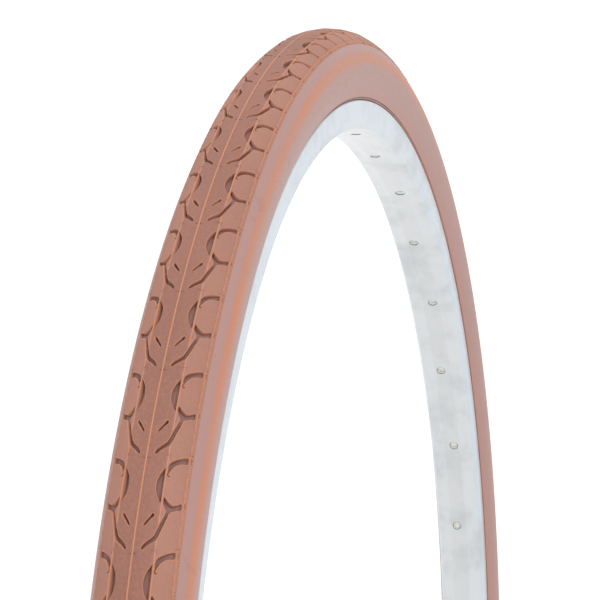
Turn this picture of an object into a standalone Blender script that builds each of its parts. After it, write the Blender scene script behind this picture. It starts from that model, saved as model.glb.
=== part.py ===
"""A bicycle tyre on its rim, with the inner tube and the threaded valve that it holds.

The origin is the wheel's centre, Y is the axle line and +Z is up. The valve stands at the bottom of the rim and
points at the axle, opposite the seam where the rim's hoop is joined. Metres throughout. A point of a ring's section
is written (across, radius): its distance from the wheel's middle plane and from the axle line.
"""

import math

import bmesh
import bpy

MM = 0.001

# Parts that touch keep this gap to each other.
FIT_GAP = 0.3 * MM
# Nested rings keep their gaps because all of them are turned in the same number of steps.
RING_STEPS = 36
VALVE_STEPS = 20
CORE_STEPS = 12

# Rim: an extruded hoop with a chamber along each side.
BEAD_SEAT_RADIUS = 311.0 * MM
FLANGE_HEIGHT = 6.0 * MM
FLANGE_WALL = 1.48 * MM
FLANGE_BEVEL = 0.5 * MM
WELL_WIDTH = 13.8 * MM
RIM_DEPTH = 13.4 * MM
HUB_WALL = 2.0 * MM
HUB_BAND_WIDTH = 8.8 * MM
CORNER_INSET = 1.82 * MM
CORNER_RISE = 0.7 * MM
SHOULDER_RISE = 4.6 * MM
SEAT_WIDTH = 4.5 * MM
SEAT_DROP = 0.2 * MM
WELL_TAPER = 1.0 * MM
CHAMBER_WALL = 1.4 * MM
SPOKE_HOLES = 36
SPOKE_HOLE_RADIUS = 2.35 * MM
SPOKE_HOLE_OFFSET = 1.03 * MM
VALVE_HOLE_CLEARANCE = 0.4 * MM
SEAM_PIN_RADIUS = 1.0 * MM
SEAM_PIN_LENGTH = 44.0 * MM
STRIP_THICKNESS = 0.8 * MM

# Tyre: its section is round above the widest line, and a longer arc runs from there to the flange.
TYRE_WIDTH = 34.9 * MM
TYRE_HEIGHT = 38.35 * MM
TREAD_HALF_ARC = 15.5 * MM
TREAD_THICKNESS = 2.5 * MM
TREAD_EDGE_THICKNESS = 1.05 * MM
BELT_THICKNESS = 0.7 * MM
BELT_HALF_ARC = 8.5 * MM
SIDEWALL_THICKNESS = 1.2 * MM
SIDEWALL_LIP_INSET = 0.28 * MM
CASING_THICKNESS = 0.8 * MM
CHAFER_THICKNESS = 0.7 * MM
CHAFER_SHOWS = 2.2 * MM
BEAD_WIRE_RADIUS = 1.1 * MM
TUBE_WALL = 0.9 * MM

# The ply and the tube leave the sidewall this far above the flange, and more as the tyre overhangs it more.
PLY_RISE = 1.5 * MM
PLY_RISE_PER_OVERHANG = 0.515
TUBE_RISE_PER_OVERHANG = 0.928

# Valve: a threaded brass stem with a screwed core.
THREAD_PITCH = 25.4 * MM / 32
STEM_RADIUS = 3.85 * MM
STEM_REACH = 33.0 * MM
STEM_CHAMFER = 0.4 * MM
STEM_NECK_RADIUS = 2.7 * MM
STEM_FOOT_RADIUS = 3.5 * MM
STEM_FOOT_THICKNESS = 0.7 * MM
STEM_AIRWAY_RADIUS = 1.2 * MM
BASE_THICKNESS = 1.2 * MM
BASE_HALF_LENGTH = 13.0 * MM
WASHER_RADIUS = 6.5 * MM
WASHER_THICKNESS = 0.8 * MM
NUT_ACROSS_FLATS = 12.0 * MM
NUT_HEIGHT = 3.0 * MM
NUT_CHAMFER = 0.3 * MM
CAP_WALL = 1.0 * MM
CAP_TOP = 1.2 * MM
CAP_OVERLAP = 10.8 * MM
CAP_CHAMFER = 0.8 * MM
CAP_SEAL_THICKNESS = 0.8 * MM

CORE_RECESS = 0.8 * MM
CORE_RADIUS = 2.3 * MM
CORE_THREAD_LENGTH = 5.4 * MM
CORE_BARREL_RADIUS = 1.7 * MM
CORE_BARREL_LENGTH = 6.8 * MM
CORE_BORE_RADIUS = 1.2 * MM
CORE_LEDGE_THICKNESS = 2.0 * MM
CORE_LEDGE_RADIUS = 0.75 * MM
GASKET_LENGTH = 2.2 * MM
GASKET_NARROWS = 0.3 * MM
PIN_RADIUS = 0.45 * MM
PIN_HEAD_RADIUS = 0.8 * MM
PIN_HEAD_LENGTH = 1.6 * MM
PIN_COLLAR_RADIUS = 1.0 * MM
PIN_COLLAR_DEPTH = 3.0 * MM
PIN_COLLAR_THICKNESS = 0.5 * MM
PIN_FOOT_THICKNESS = 0.6 * MM
PIN_TRAVEL = 1.5 * MM
SEAL_THICKNESS = 1.0 * MM
SEAL_RADIUS = 1.55 * MM
SPRING_WIRE_RADIUS = 0.14 * MM
SPRING_COIL_RADIUS = 0.82 * MM
SPRING_TURNS = 6
SPRING_POINTS_A_TURN = 8

# Rim section
FLANGE_TOP = BEAD_SEAT_RADIUS + FLANGE_HEIGHT
HUB_FACE = FLANGE_TOP - RIM_DEPTH
WELL_TOP_HALF = WELL_WIDTH / 2
RIM_INNER_HALF = WELL_TOP_HALF + SEAT_WIDTH
RIM_HALF = RIM_INNER_HALF + FLANGE_WALL
CORNER_HALF = RIM_HALF - CORNER_INSET
TRACK_LOW = HUB_FACE + SHOULDER_RISE
WELL_FLOOR = HUB_FACE + HUB_WALL
WELL_FLOOR_HALF = WELL_TOP_HALF - WELL_TAPER
CHAMBER_TOP = BEAD_SEAT_RADIUS - SEAT_DROP - CHAMBER_WALL

# Tyre section
TYRE_HALF = TYRE_WIDTH / 2
TYRE_RADIUS = BEAD_SEAT_RADIUS + TYRE_HEIGHT
SECTION_CENTRE = TYRE_RADIUS - TYRE_HALF
SHOULDER_ANGLE = TREAD_HALF_ARC / TYRE_HALF
LIP_RADIUS = FLANGE_TOP + FIT_GAP
LOWER_DROP = SECTION_CENTRE - LIP_RADIUS
LOWER_INSET = TYRE_HALF - (RIM_HALF - SIDEWALL_LIP_INSET)
LOWER_ARC_RADIUS = (LOWER_DROP**2 + LOWER_INSET**2) / (2 * LOWER_INSET)
BELT_DEPTH = TREAD_THICKNESS + FIT_GAP
CASING_CROWN_DEPTH = BELT_DEPTH + BELT_THICKNESS + FIT_GAP
CASING_SIDE_DEPTH = SIDEWALL_THICKNESS + FIT_GAP
WIRE_CASE = FIT_GAP + CHAFER_THICKNESS + FIT_GAP + CASING_THICKNESS + FIT_GAP
WIRE_ACROSS = RIM_INNER_HALF - WIRE_CASE - BEAD_WIRE_RADIUS
WIRE_RING_RADIUS = BEAD_SEAT_RADIUS + WIRE_CASE + BEAD_WIRE_RADIUS
HOOK_RADIUS = BEAD_WIRE_RADIUS + FIT_GAP + CASING_THICKNESS / 2
TUBE_FROM_CASING = CASING_THICKNESS / 2 + FIT_GAP + TUBE_WALL / 2

# Heights along the valve. The rim rises beside the valve, and the washer is hollowed to sit on it.
STRIP_TOP = WELL_FLOOR + FIT_GAP + STRIP_THICKNESS
BASE_TOP = STRIP_TOP + FIT_GAP + BASE_THICKNESS
TUBE_FLOOR = BASE_TOP + FIT_GAP + TUBE_WALL / 2
FOOT_TOP = TUBE_FLOOR + TUBE_WALL / 2 + FIT_GAP
FLAT_RISE = WASHER_RADIUS * math.tan(math.pi / RING_STEPS)
WASHER_TOP_Z = -HUB_FACE + FIT_GAP + FLAT_RISE + WASHER_THICKNESS
NUT_Z = WASHER_TOP_Z + FIT_GAP
STEM_TIP_Z = -HUB_FACE + STEM_REACH
CORE_TOP_Z = STEM_TIP_Z - CORE_RECESS
CORE_THREAD_END_Z = CORE_TOP_Z - CORE_THREAD_LENGTH
GASKET_Z = CORE_THREAD_END_Z - FIT_GAP - GASKET_LENGTH
BARREL_TOP_Z = GASKET_Z - FIT_GAP
BARREL_END_Z = BARREL_TOP_Z - CORE_BARREL_LENGTH
LEDGE_Z = BARREL_END_Z + CORE_LEDGE_THICKNESS
SEAL_Z = BARREL_END_Z - FIT_GAP - SEAL_THICKNESS
PIN_FOOT_Z = SEAL_Z - FIT_GAP - PIN_FOOT_THICKNESS
SPRING_TOP_Z = CORE_TOP_Z - PIN_COLLAR_DEPTH - PIN_COLLAR_THICKNESS - FIT_GAP - SPRING_WIRE_RADIUS
SPRING_FOOT_Z = LEDGE_Z + FIT_GAP + SPRING_WIRE_RADIUS
STEM_BORE_RADIUS = CORE_RADIUS + FIT_GAP
STEM_CHAMBER_RADIUS = CORE_BARREL_RADIUS + FIT_GAP
STEM_CHAMBER_END_Z = PIN_FOOT_Z - PIN_TRAVEL - FIT_GAP
CAP_BORE_RADIUS = STEM_RADIUS + FIT_GAP
CAP_SEAL_Z = STEM_TIP_Z + FIT_GAP
CAP_CEILING_Z = CAP_SEAL_Z + CAP_SEAL_THICKNESS + FIT_GAP
CAP_Z = STEM_TIP_Z - CAP_OVERLAP
EPSILON = 1e-5


def clear_scene():
    for item in list(bpy.data.objects):
        bpy.data.objects.remove(item)


def new_collection(name):
    collection = bpy.data.collections.new(name)
    bpy.context.scene.collection.children.link(collection)
    return collection


def new_material(name, colour, roughness, metallic=0.0):
    material = bpy.data.materials.new(name)
    material.use_nodes = True
    material.diffuse_color = (*colour, 1)
    shader = material.node_tree.nodes["Principled BSDF"]
    shader.inputs["Base Color"].default_value = (*colour, 1)
    shader.inputs["Roughness"].default_value = roughness
    shader.inputs["Metallic"].default_value = metallic
    return material


def new_object(name, mesh, collection, material=None):
    item = bpy.data.objects.new(name, mesh)
    collection.objects.link(item)
    if material:
        mesh.materials.append(material)
    return item


def make_cutter(item):
    item.hide_render = True
    item.display_type = "WIRE"
    return item


def profile_mesh(name, points, closed):
    """A line of edges in the XZ or XY plane, which a Screw modifier turns."""
    mesh = bpy.data.meshes.new(name)
    last = len(points)
    edges = [(i, (i + 1) % last) for i in range(last if closed else last - 1)]
    mesh.from_pydata(points, edges, [])
    return mesh


def add_screw(item, axis, steps):
    screw = item.modifiers.new("Turn", "SCREW")
    screw.axis = axis
    screw.angle = math.tau
    screw.steps = steps
    screw.render_steps = steps
    screw.use_merge_vertices = True
    screw.merge_threshold = EPSILON
    screw.use_smooth_shade = True


def ring(name, outline, collection, material=None):
    """A ring round the axle line, turned from a closed outline of (across, radius) points.

    The outline runs from the +Y side across the outer face to the -Y side and back along the inner face.
    """
    points = [(radius, across, 0) for across, radius in outline]
    item = new_object(name, profile_mesh(name, points, closed=True), collection, material)
    add_screw(item, "Y", RING_STEPS)
    return item


def shell_ring(name, path, wall, collection, material, closed=False):
    """A ring of even wall thickness, turned from the middle line of its wall."""
    points = [(radius, across, 0) for across, radius in path]
    item = new_object(name, profile_mesh(name, points, closed), collection, material)
    add_screw(item, "Y", RING_STEPS)
    solidify = item.modifiers.new("Wall", "SOLIDIFY")
    solidify.thickness = wall
    solidify.offset = 0
    solidify.use_even_offset = True
    return item


def turned(name, outline, base_z, steps, collection, material):
    """A piece turned round the valve's axis, from a closed outline of (radius, z) points run down its outside."""
    points = [(radius, 0, z - base_z) for radius, z in outline]
    item = new_object(name, profile_mesh(name, points, closed=True), collection, material)
    item.location.z = base_z
    add_screw(item, "Z", steps)
    return item


def sleeve(inner, outer, low, high):
    return [(outer, high), (outer, low), (inner, low), (inner, high)]


def cut(item, cutter, operation="DIFFERENCE"):
    boolean = item.modifiers.new(cutter.name, "BOOLEAN")
    boolean.operation = operation
    boolean.object = cutter


def prism(name, sides, radius, low, high, collection, material=None):
    """An upright prism or cylinder on the valve's axis."""
    mesh = bpy.data.meshes.new(name)
    form = bmesh.new()
    bmesh.ops.create_cone(
        form, cap_ends=True, segments=sides, radius1=radius, radius2=radius, depth=high - low
    )
    bmesh.ops.translate(form, verts=form.verts, vec=(0, 0, (high - low) / 2))
    form.to_mesh(mesh)
    form.free()
    item = new_object(name, mesh, collection, material)
    item.location.z = low
    return item


def both_sides(half):
    """A symmetric outline or path, from its +Y half, which runs from the middle plane outwards."""
    other = [(-across, radius) for across, radius in half if across > EPSILON]
    return other[::-1] + list(half)


def spread(start, end, count):
    return [start + (end - start) * i / (count - 1) for i in range(count)]


def round_point(angle, across_half, radial_half):
    """A point of an oval section. The angle is 0 at the crown and a quarter turn at the widest line."""
    return across_half * math.sin(angle), SECTION_CENTRE + radial_half * math.cos(angle)


def lower_point(radius, depth):
    """A point below the widest line, a depth under the tyre's outer face."""
    centre = TYRE_HALF - LOWER_ARC_RADIUS
    reach = LOWER_ARC_RADIUS - depth
    return centre + math.sqrt(reach**2 - (SECTION_CENTRE - radius) ** 2), radius


def mirrored(outline):
    return [(-across, radius) for across, radius in reversed(outline)]


def rim_outline():
    half = [
        (0, HUB_FACE),
        (HUB_BAND_WIDTH / 2, HUB_FACE),
        (CORNER_HALF, HUB_FACE + CORNER_RISE),
        (RIM_HALF, TRACK_LOW),
        (RIM_HALF, FLANGE_TOP - FLANGE_BEVEL),
        (RIM_HALF - FLANGE_BEVEL, FLANGE_TOP),
        (RIM_INNER_HALF, FLANGE_TOP - FLANGE_BEVEL),
        (RIM_INNER_HALF, BEAD_SEAT_RADIUS),
        (WELL_TOP_HALF, BEAD_SEAT_RADIUS - SEAT_DROP),
        (WELL_FLOOR_HALF, WELL_FLOOR),
    ]
    return half[1:] + [(-across, radius) for across, radius in reversed(half[1:])]


def chamber_outline():
    """The hollow between the well, the bead seat and the rim's outer corner, on the +Y side."""
    return [
        (WELL_FLOOR_HALF + CHAMBER_WALL, WELL_FLOOR),
        (CORNER_HALF - CORNER_RISE, WELL_FLOOR),
        (RIM_INNER_HALF, TRACK_LOW),
        (RIM_INNER_HALF, CHAMBER_TOP),
        (WELL_TOP_HALF + CHAMBER_WALL, CHAMBER_TOP),
    ]


def spoke_hole_cutter(collection):
    """A radial peg through the hub wall at each spoke, placed by turns to one side and the other."""
    form = bmesh.new()
    for index in range(SPOKE_HOLES):
        angle = math.tau * (index + 0.5) / SPOKE_HOLES
        side = -1 if index % 2 == 0 else 1
        made = bmesh.ops.create_cone(
            form,
            cap_ends=True,
            segments=12,
            radius1=SPOKE_HOLE_RADIUS,
            radius2=SPOKE_HOLE_RADIUS,
            depth=HUB_WALL * 2,
        )
        middle = HUB_FACE + HUB_WALL / 2
        bmesh.ops.translate(form, verts=made["verts"], vec=(0, side * SPOKE_HOLE_OFFSET, middle))
        turn = math.cos(angle), math.sin(angle)
        for vert in made["verts"]:
            x, z = vert.co.x, vert.co.z
            vert.co.x = x * turn[0] + z * turn[1]
            vert.co.z = z * turn[0] - x * turn[1]
    mesh = bpy.data.meshes.new("spoke_hole_cutter")
    form.to_mesh(mesh)
    form.free()
    return make_cutter(new_object("spoke_hole_cutter", mesh, collection))


def flat_ring_point(angle, across, radius):
    """A point at an angle from the top, on the flats of a ring turned in RING_STEPS steps."""
    step = math.tau / RING_STEPS
    middle = (math.floor(angle / step) + 0.5) * step
    distance = radius * math.cos(step / 2) / math.cos(angle - middle)
    return distance * math.sin(angle), across, distance * math.cos(angle)


def build_rim(parts, cutters):
    aluminium = new_material("painted_aluminium", (0.78, 0.82, 0.86), 0.35)
    steel = new_material("bright_steel", (0.6, 0.6, 0.6), 0.3, 1.0)
    rim = ring("rim", rim_outline(), parts, aluminium)
    chamber = chamber_outline()
    for side, outline in (("right", chamber), ("left", mirrored(chamber))):
        cut(rim, make_cutter(ring(f"chamber_cutter_{side}", outline, cutters)))
    cut(rim, spoke_hole_cutter(cutters))
    valve_hole = prism(
        "valve_hole_cutter",
        VALVE_STEPS,
        STEM_RADIUS + VALVE_HOLE_CLEARANCE,
        -TUBE_FLOOR,
        -HUB_FACE + RIM_DEPTH,
        cutters,
    )
    cut(rim, make_cutter(valve_hole))
    mesh = bpy.data.meshes.new("seam_cutter")
    form = bmesh.new()
    bmesh.ops.create_cube(form, size=1)
    bmesh.ops.scale(form, verts=form.verts, vec=(FIT_GAP, RIM_HALF * 4, RIM_DEPTH * 3))
    form.to_mesh(mesh)
    form.free()
    seam = make_cutter(new_object("seam_cutter", mesh, cutters))
    seam.location.z = HUB_FACE + RIM_DEPTH / 2
    cut(rim, seam)

    across = sum(point[0] for point in chamber) / len(chamber)
    radius = sum(point[1] for point in chamber) / len(chamber)
    half_angle = SEAM_PIN_LENGTH / 2 / radius
    step = math.tau / RING_STEPS
    turns = int(half_angle / step)
    angles = sorted({-half_angle, half_angle, *(i * step for i in range(-turns, turns + 1))})
    for side, sign in (("left", -1), ("right", 1)):
        points = [flat_ring_point(angle, sign * across, radius) for angle in angles]
        wire(f"rim_joint_pin_{side}", points, SEAM_PIN_RADIUS, parts, steel)


def wire(name, points, radius, collection, material):
    curve = bpy.data.curves.new(name, "CURVE")
    curve.dimensions = "3D"
    curve.bevel_depth = radius
    curve.bevel_resolution = 2
    curve.use_fill_caps = True
    spline = curve.splines.new("POLY")
    spline.points.add(len(points) - 1)
    for point, place in zip(spline.points, points):
        point.co = (*place, 1)
    curve.materials.append(material)
    item = bpy.data.objects.new(name, curve)
    collection.objects.link(item)
    return item


def build_rim_strip(parts, valve_hole):
    half = WELL_FLOOR_HALF - FIT_GAP
    low = WELL_FLOOR + FIT_GAP
    white = new_material("white_nylon", (0.85, 0.85, 0.83), 0.6)
    strip = ring("rim_strip", box_outline(half, low, STRIP_TOP), parts, white)
    cut(strip, valve_hole)


def box_outline(half, low, high):
    return [(half, low), (half, high), (-half, high), (-half, low)]


def casing_half_path():
    """The middle line of the casing's ply on the +Y side, from the crown round the bead wire."""
    half_wall = CASING_THICKNESS / 2
    across_half = TYRE_HALF - CASING_SIDE_DEPTH - half_wall
    radial_half = TYRE_HALF - CASING_CROWN_DEPTH - half_wall
    path = [round_point(angle, across_half, radial_half) for angle in spread(0, math.pi / 2, 5)]
    leaves = FLANGE_TOP + PLY_RISE + PLY_RISE_PER_OVERHANG * LOWER_INSET
    for radius in spread(SECTION_CENTRE, leaves, 4)[1:]:
        path.append(lower_point(radius, CASING_SIDE_DEPTH + half_wall))
    for angle in spread(math.radians(135), math.radians(360), 6):
        across = WIRE_ACROSS + HOOK_RADIUS * math.cos(angle)
        path.append((across, WIRE_RING_RADIUS + HOOK_RADIUS * math.sin(angle)))
    path.append((WIRE_ACROSS + HOOK_RADIUS, FLANGE_TOP - FLANGE_BEVEL))
    return path


def tube_half_path():
    """The middle line of the tube's wall on the +Y side, from the crown to the rim's well."""
    side_depth = CASING_SIDE_DEPTH + CASING_THICKNESS / 2 + TUBE_FROM_CASING
    crown_depth = CASING_CROWN_DEPTH + CASING_THICKNESS / 2 + TUBE_FROM_CASING
    path = [
        round_point(angle, TYRE_HALF - side_depth, TYRE_HALF - crown_depth)
        for angle in spread(0, math.pi / 2, 5)
    ]
    leaves = FLANGE_TOP + PLY_RISE + TUBE_RISE_PER_OVERHANG * LOWER_INSET
    path.append(lower_point(leaves, side_depth))
    hook = HOOK_RADIUS + TUBE_FROM_CASING
    for angle in (math.radians(135), math.pi):
        path.append((WIRE_ACROSS + hook * math.cos(angle), WIRE_RING_RADIUS + hook * math.sin(angle)))
    floor_half = WELL_FLOOR_HALF - FIT_GAP - TUBE_WALL
    path.append((floor_half, TUBE_FLOOR))
    return path


def build_tube(parts, cutters):
    butyl = new_material("black_butyl", (0.03, 0.03, 0.03), 0.6)
    half = tube_half_path()
    outline = half + [(-across, radius) for across, radius in reversed(half[1:])]
    tube = shell_ring("inner_tube", outline, TUBE_WALL, parts, butyl, closed=True)
    neck_hole = prism(
        "neck_hole_cutter",
        VALVE_STEPS,
        STEM_NECK_RADIUS + FIT_GAP,
        -FOOT_TOP - STEM_FOOT_THICKNESS,
        -HUB_FACE,
        cutters,
    )
    make_cutter(neck_hole)
    cut(tube, neck_hole)

    base_half = WELL_FLOOR_HALF - FIT_GAP - TUBE_WALL
    base = ring("valve_base", box_outline(base_half, STRIP_TOP + FIT_GAP, BASE_TOP), parts, butyl)
    oval = prism("base_oval_cutter", VALVE_STEPS, BASE_HALF_LENGTH, -TUBE_FLOOR, -HUB_FACE, cutters)
    oval.scale.y = base_half * 0.98 / BASE_HALF_LENGTH
    make_cutter(oval)
    cut(base, oval, "INTERSECT")
    cut(base, neck_hole)


def build_tyre(parts):
    rubber = new_material("terracotta_tread_rubber", (0.43, 0.21, 0.155), 0.62)
    side_rubber = new_material("pink_sidewall_rubber", (0.5, 0.31, 0.28), 0.55)
    cotton = new_material("rubbered_nylon_cord", (0.12, 0.08, 0.06), 0.8)
    breaker = new_material("woven_breaker", (0.55, 0.45, 0.2), 0.8)
    steel = new_material("bronzed_steel_wire", (0.5, 0.42, 0.3), 0.35, 1.0)

    outer = [round_point(a, TYRE_HALF, TYRE_HALF) for a in spread(0, SHOULDER_ANGLE, 5)]
    under_across = TYRE_HALF - TREAD_EDGE_THICKNESS
    under_radial = TYRE_HALF - TREAD_THICKNESS
    inner = [round_point(a, under_across, under_radial) for a in spread(0, SHOULDER_ANGLE, 4)]
    ring("tread", both_sides(outer)[::-1] + both_sides(inner), parts, rubber)

    belt_angle = BELT_HALF_ARC / TYRE_HALF
    casing_across = TYRE_HALF - CASING_SIDE_DEPTH
    belt_across = (under_across + casing_across) / 2
    belt_radial = TYRE_HALF - BELT_DEPTH - BELT_THICKNESS / 2
    belt = [round_point(a, belt_across, belt_radial) for a in spread(0, belt_angle, 3)]
    shell_ring("puncture_belt", both_sides(belt), BELT_THICKNESS, parts, breaker)
    shell_ring("casing", both_sides(casing_half_path()), CASING_THICKNESS, parts, cotton)

    start = SHOULDER_ANGLE + FIT_GAP / TYRE_HALF
    ends = FLANGE_TOP + CHAFER_SHOWS + FIT_GAP
    inner_across = TYRE_HALF - SIDEWALL_THICKNESS
    inner_radial = TYRE_HALF - CASING_CROWN_DEPTH + FIT_GAP
    angles = spread(start, math.pi / 2, 3)
    lower = spread(SECTION_CENTRE, ends, 4)[1:]
    outline = [round_point(angle, TYRE_HALF, TYRE_HALF) for angle in angles]
    outline += [lower_point(radius, 0) for radius in lower]
    outline += [lower_point(radius, SIDEWALL_THICKNESS) for radius in reversed(lower)]
    outline += [round_point(angle, inner_across, inner_radial) for angle in reversed(angles)]
    chafer = chafer_path()
    for side, sign in (("left", -1), ("right", 1)):
        shape = outline[::-1] if sign > 0 else [(-across, radius) for across, radius in outline]
        ring(f"sidewall_{side}", shape, parts, side_rubber)
        path = [(sign * across, radius) for across, radius in chafer]
        shell_ring(f"chafer_{side}", path, CHAFER_THICKNESS, parts, cotton)
        loop = []
        for angle in spread(0, -math.tau, 7)[:-1]:
            across = sign * WIRE_ACROSS + BEAD_WIRE_RADIUS * math.cos(angle)
            loop.append((across, WIRE_RING_RADIUS + BEAD_WIRE_RADIUS * math.sin(angle)))
        ring(f"bead_wire_{side}", loop[::-1], parts, steel)


def chafer_path():
    """The middle line of the strip that guards the +Y bead, from above the flange to the bead's toe."""
    half_wall = CHAFER_THICKNESS / 2
    over = FLANGE_TOP + FIT_GAP + half_wall
    side = RIM_INNER_HALF - FIT_GAP - half_wall
    seat = BEAD_SEAT_RADIUS + FIT_GAP + half_wall
    return [
        lower_point(FLANGE_TOP + CHAFER_SHOWS, half_wall),
        lower_point(over, half_wall),
        (side + FIT_GAP, over),
        (side, over - half_wall * 2),
        (side, seat),
        (WELL_TOP_HALF, seat),
    ]


def build_valve(parts, cutters):
    brass = new_material("nickel_plated_brass", (0.72, 0.7, 0.66), 0.25, 1.0)
    raw_brass = new_material("raw_brass", (0.6, 0.45, 0.2), 0.35, 1.0)
    steel = bpy.data.materials["bright_steel"]
    rubber = new_material("black_seal_rubber", (0.02, 0.02, 0.02), 0.7)
    teflon = new_material("red_seal_plastic", (0.5, 0.05, 0.04), 0.5)
    plastic = new_material("black_moulded_plastic", (0.03, 0.03, 0.03), 0.45)

    stem_foot_z = -FOOT_TOP - STEM_FOOT_THICKNESS
    neck_top_z = -STRIP_TOP + FIT_GAP
    cone_z = CORE_THREAD_END_Z - FIT_GAP * 2
    stem_outline = [
        (STEM_RADIUS - STEM_CHAMFER, STEM_TIP_Z),
        (STEM_RADIUS, STEM_TIP_Z - STEM_CHAMFER),
        (STEM_RADIUS, neck_top_z),
        (STEM_NECK_RADIUS, neck_top_z),
        (STEM_NECK_RADIUS, -FOOT_TOP),
        (STEM_FOOT_RADIUS, -FOOT_TOP),
        (STEM_FOOT_RADIUS, stem_foot_z),
        (STEM_AIRWAY_RADIUS, stem_foot_z),
        (STEM_AIRWAY_RADIUS, STEM_CHAMBER_END_Z),
        (STEM_CHAMBER_RADIUS, STEM_CHAMBER_END_Z),
        (STEM_CHAMBER_RADIUS, GASKET_Z - FIT_GAP),
        (STEM_BORE_RADIUS, cone_z),
        (STEM_BORE_RADIUS, STEM_TIP_Z),
    ]
    turned("valve_stem", stem_outline, stem_foot_z, VALVE_STEPS, parts, brass)

    bore = STEM_RADIUS + FIT_GAP
    washer_outline = sleeve(bore, WASHER_RADIUS, -HUB_FACE, WASHER_TOP_Z)
    washer = turned("valve_washer", washer_outline, -HUB_FACE, VALVE_STEPS, parts, steel)
    saddle_outline = box_outline(RIM_HALF * 2, HUB_FACE - FIT_GAP, FLANGE_TOP)
    cut(washer, make_cutter(ring("saddle_cutter", saddle_outline, cutters)))
    corner = NUT_ACROSS_FLATS / 2 / math.cos(math.pi / 6)
    nut = prism("valve_lock_nut", 6, corner, NUT_Z, NUT_Z + NUT_HEIGHT, parts, brass)
    bevel = nut.modifiers.new("Corners", "BEVEL")
    bevel.width = NUT_CHAMFER
    bevel.limit_method = "ANGLE"
    bore_cutter = prism(
        "nut_bore_cutter", VALVE_STEPS, bore, NUT_Z - NUT_HEIGHT, NUT_Z + NUT_HEIGHT * 2, cutters
    )
    cut(nut, make_cutter(bore_cutter))
    hold(nut, washer)

    seal_top = CAP_SEAL_Z + CAP_SEAL_THICKNESS
    seal = turned(
        "valve_cap_seal",
        sleeve(STEM_AIRWAY_RADIUS, CAP_BORE_RADIUS - FIT_GAP * 2, CAP_SEAL_Z, seal_top),
        CAP_SEAL_Z,
        VALVE_STEPS,
        parts,
        rubber,
    )
    cap_radius = CAP_BORE_RADIUS + CAP_WALL
    cap_top_z = CAP_CEILING_Z + CAP_TOP
    cap_outline = [
        (0, cap_top_z),
        (cap_radius - CAP_CHAMFER, cap_top_z),
        (cap_radius, cap_top_z - CAP_CHAMFER),
        (cap_radius, CAP_Z),
        (CAP_BORE_RADIUS, CAP_Z),
        (CAP_BORE_RADIUS, CAP_CEILING_Z),
        (0, CAP_CEILING_Z),
    ]
    cap = lathe_solid("valve_cap", cap_outline, CAP_Z, VALVE_STEPS, parts, plastic)
    hold(cap, seal)

    core_outline = [
        (CORE_RADIUS, CORE_TOP_Z),
        (CORE_RADIUS, CORE_THREAD_END_Z),
        (CORE_BARREL_RADIUS - FIT_GAP, CORE_THREAD_END_Z),
        (CORE_BARREL_RADIUS - FIT_GAP, BARREL_TOP_Z),
        (CORE_BARREL_RADIUS, BARREL_TOP_Z),
        (CORE_BARREL_RADIUS, BARREL_END_Z),
        (CORE_LEDGE_RADIUS, BARREL_END_Z),
        (CORE_LEDGE_RADIUS, LEDGE_Z),
        (CORE_BORE_RADIUS, LEDGE_Z),
        (CORE_BORE_RADIUS, CORE_TOP_Z),
    ]
    turned("valve_core_body", core_outline, BARREL_END_Z, CORE_STEPS, parts, raw_brass)
    gasket_outline = [
        (CORE_RADIUS, GASKET_Z + GASKET_LENGTH),
        (CORE_RADIUS - GASKET_NARROWS / 2, GASKET_Z + GASKET_LENGTH / 2),
        (CORE_RADIUS - GASKET_NARROWS, GASKET_Z),
        (CORE_BARREL_RADIUS, GASKET_Z),
        (CORE_BARREL_RADIUS, GASKET_Z + GASKET_LENGTH),
    ]
    turned("valve_core_gasket", gasket_outline, GASKET_Z, CORE_STEPS, parts, teflon)
    collar_z = CORE_TOP_Z - PIN_COLLAR_DEPTH
    pin_outline = [
        (0, CORE_TOP_Z),
        (PIN_HEAD_RADIUS, CORE_TOP_Z),
        (PIN_HEAD_RADIUS, CORE_TOP_Z - PIN_HEAD_LENGTH),
        (PIN_RADIUS, CORE_TOP_Z - PIN_HEAD_LENGTH),
        (PIN_RADIUS, collar_z),
        (PIN_COLLAR_RADIUS, collar_z),
        (PIN_COLLAR_RADIUS, collar_z - PIN_COLLAR_THICKNESS),
        (PIN_RADIUS, collar_z - PIN_COLLAR_THICKNESS),
        (PIN_RADIUS, PIN_FOOT_Z + PIN_FOOT_THICKNESS),
        (PIN_COLLAR_RADIUS, PIN_FOOT_Z + PIN_FOOT_THICKNESS),
        (PIN_COLLAR_RADIUS, PIN_FOOT_Z),
        (0, PIN_FOOT_Z),
    ]
    pin = lathe_solid("valve_core_pin", pin_outline, PIN_FOOT_Z, CORE_STEPS, parts, raw_brass)
    core_seal = turned(
        "valve_core_seal",
        sleeve(PIN_RADIUS + FIT_GAP, SEAL_RADIUS, SEAL_Z, SEAL_Z + SEAL_THICKNESS),
        SEAL_Z,
        CORE_STEPS,
        parts,
        rubber,
    )
    hold(core_seal, pin)
    count = SPRING_TURNS * SPRING_POINTS_A_TURN + 1
    coil = []
    for index, z in enumerate(spread(SPRING_FOOT_Z, SPRING_TOP_Z, count)):
        angle = math.tau * index / SPRING_POINTS_A_TURN
        coil.append((SPRING_COIL_RADIUS * math.cos(angle), SPRING_COIL_RADIUS * math.sin(angle), z))
    spring = wire("valve_core_spring", coil, SPRING_WIRE_RADIUS, parts, steel)
    spring.data.bevel_resolution = 1


def lathe_solid(name, outline, base_z, steps, collection, material):
    """A turned piece whose outline starts and ends on the valve's axis."""
    points = [(radius, 0, z - base_z) for radius, z in outline]
    item = new_object(name, profile_mesh(name, points, closed=False), collection, material)
    item.location.z = base_z
    add_screw(item, "Z", steps)
    return item


def hold(child, parent):
    """Parents a piece to the one that carries it, where it stands."""
    child.location = child.location - parent.location
    child.parent = parent


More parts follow.
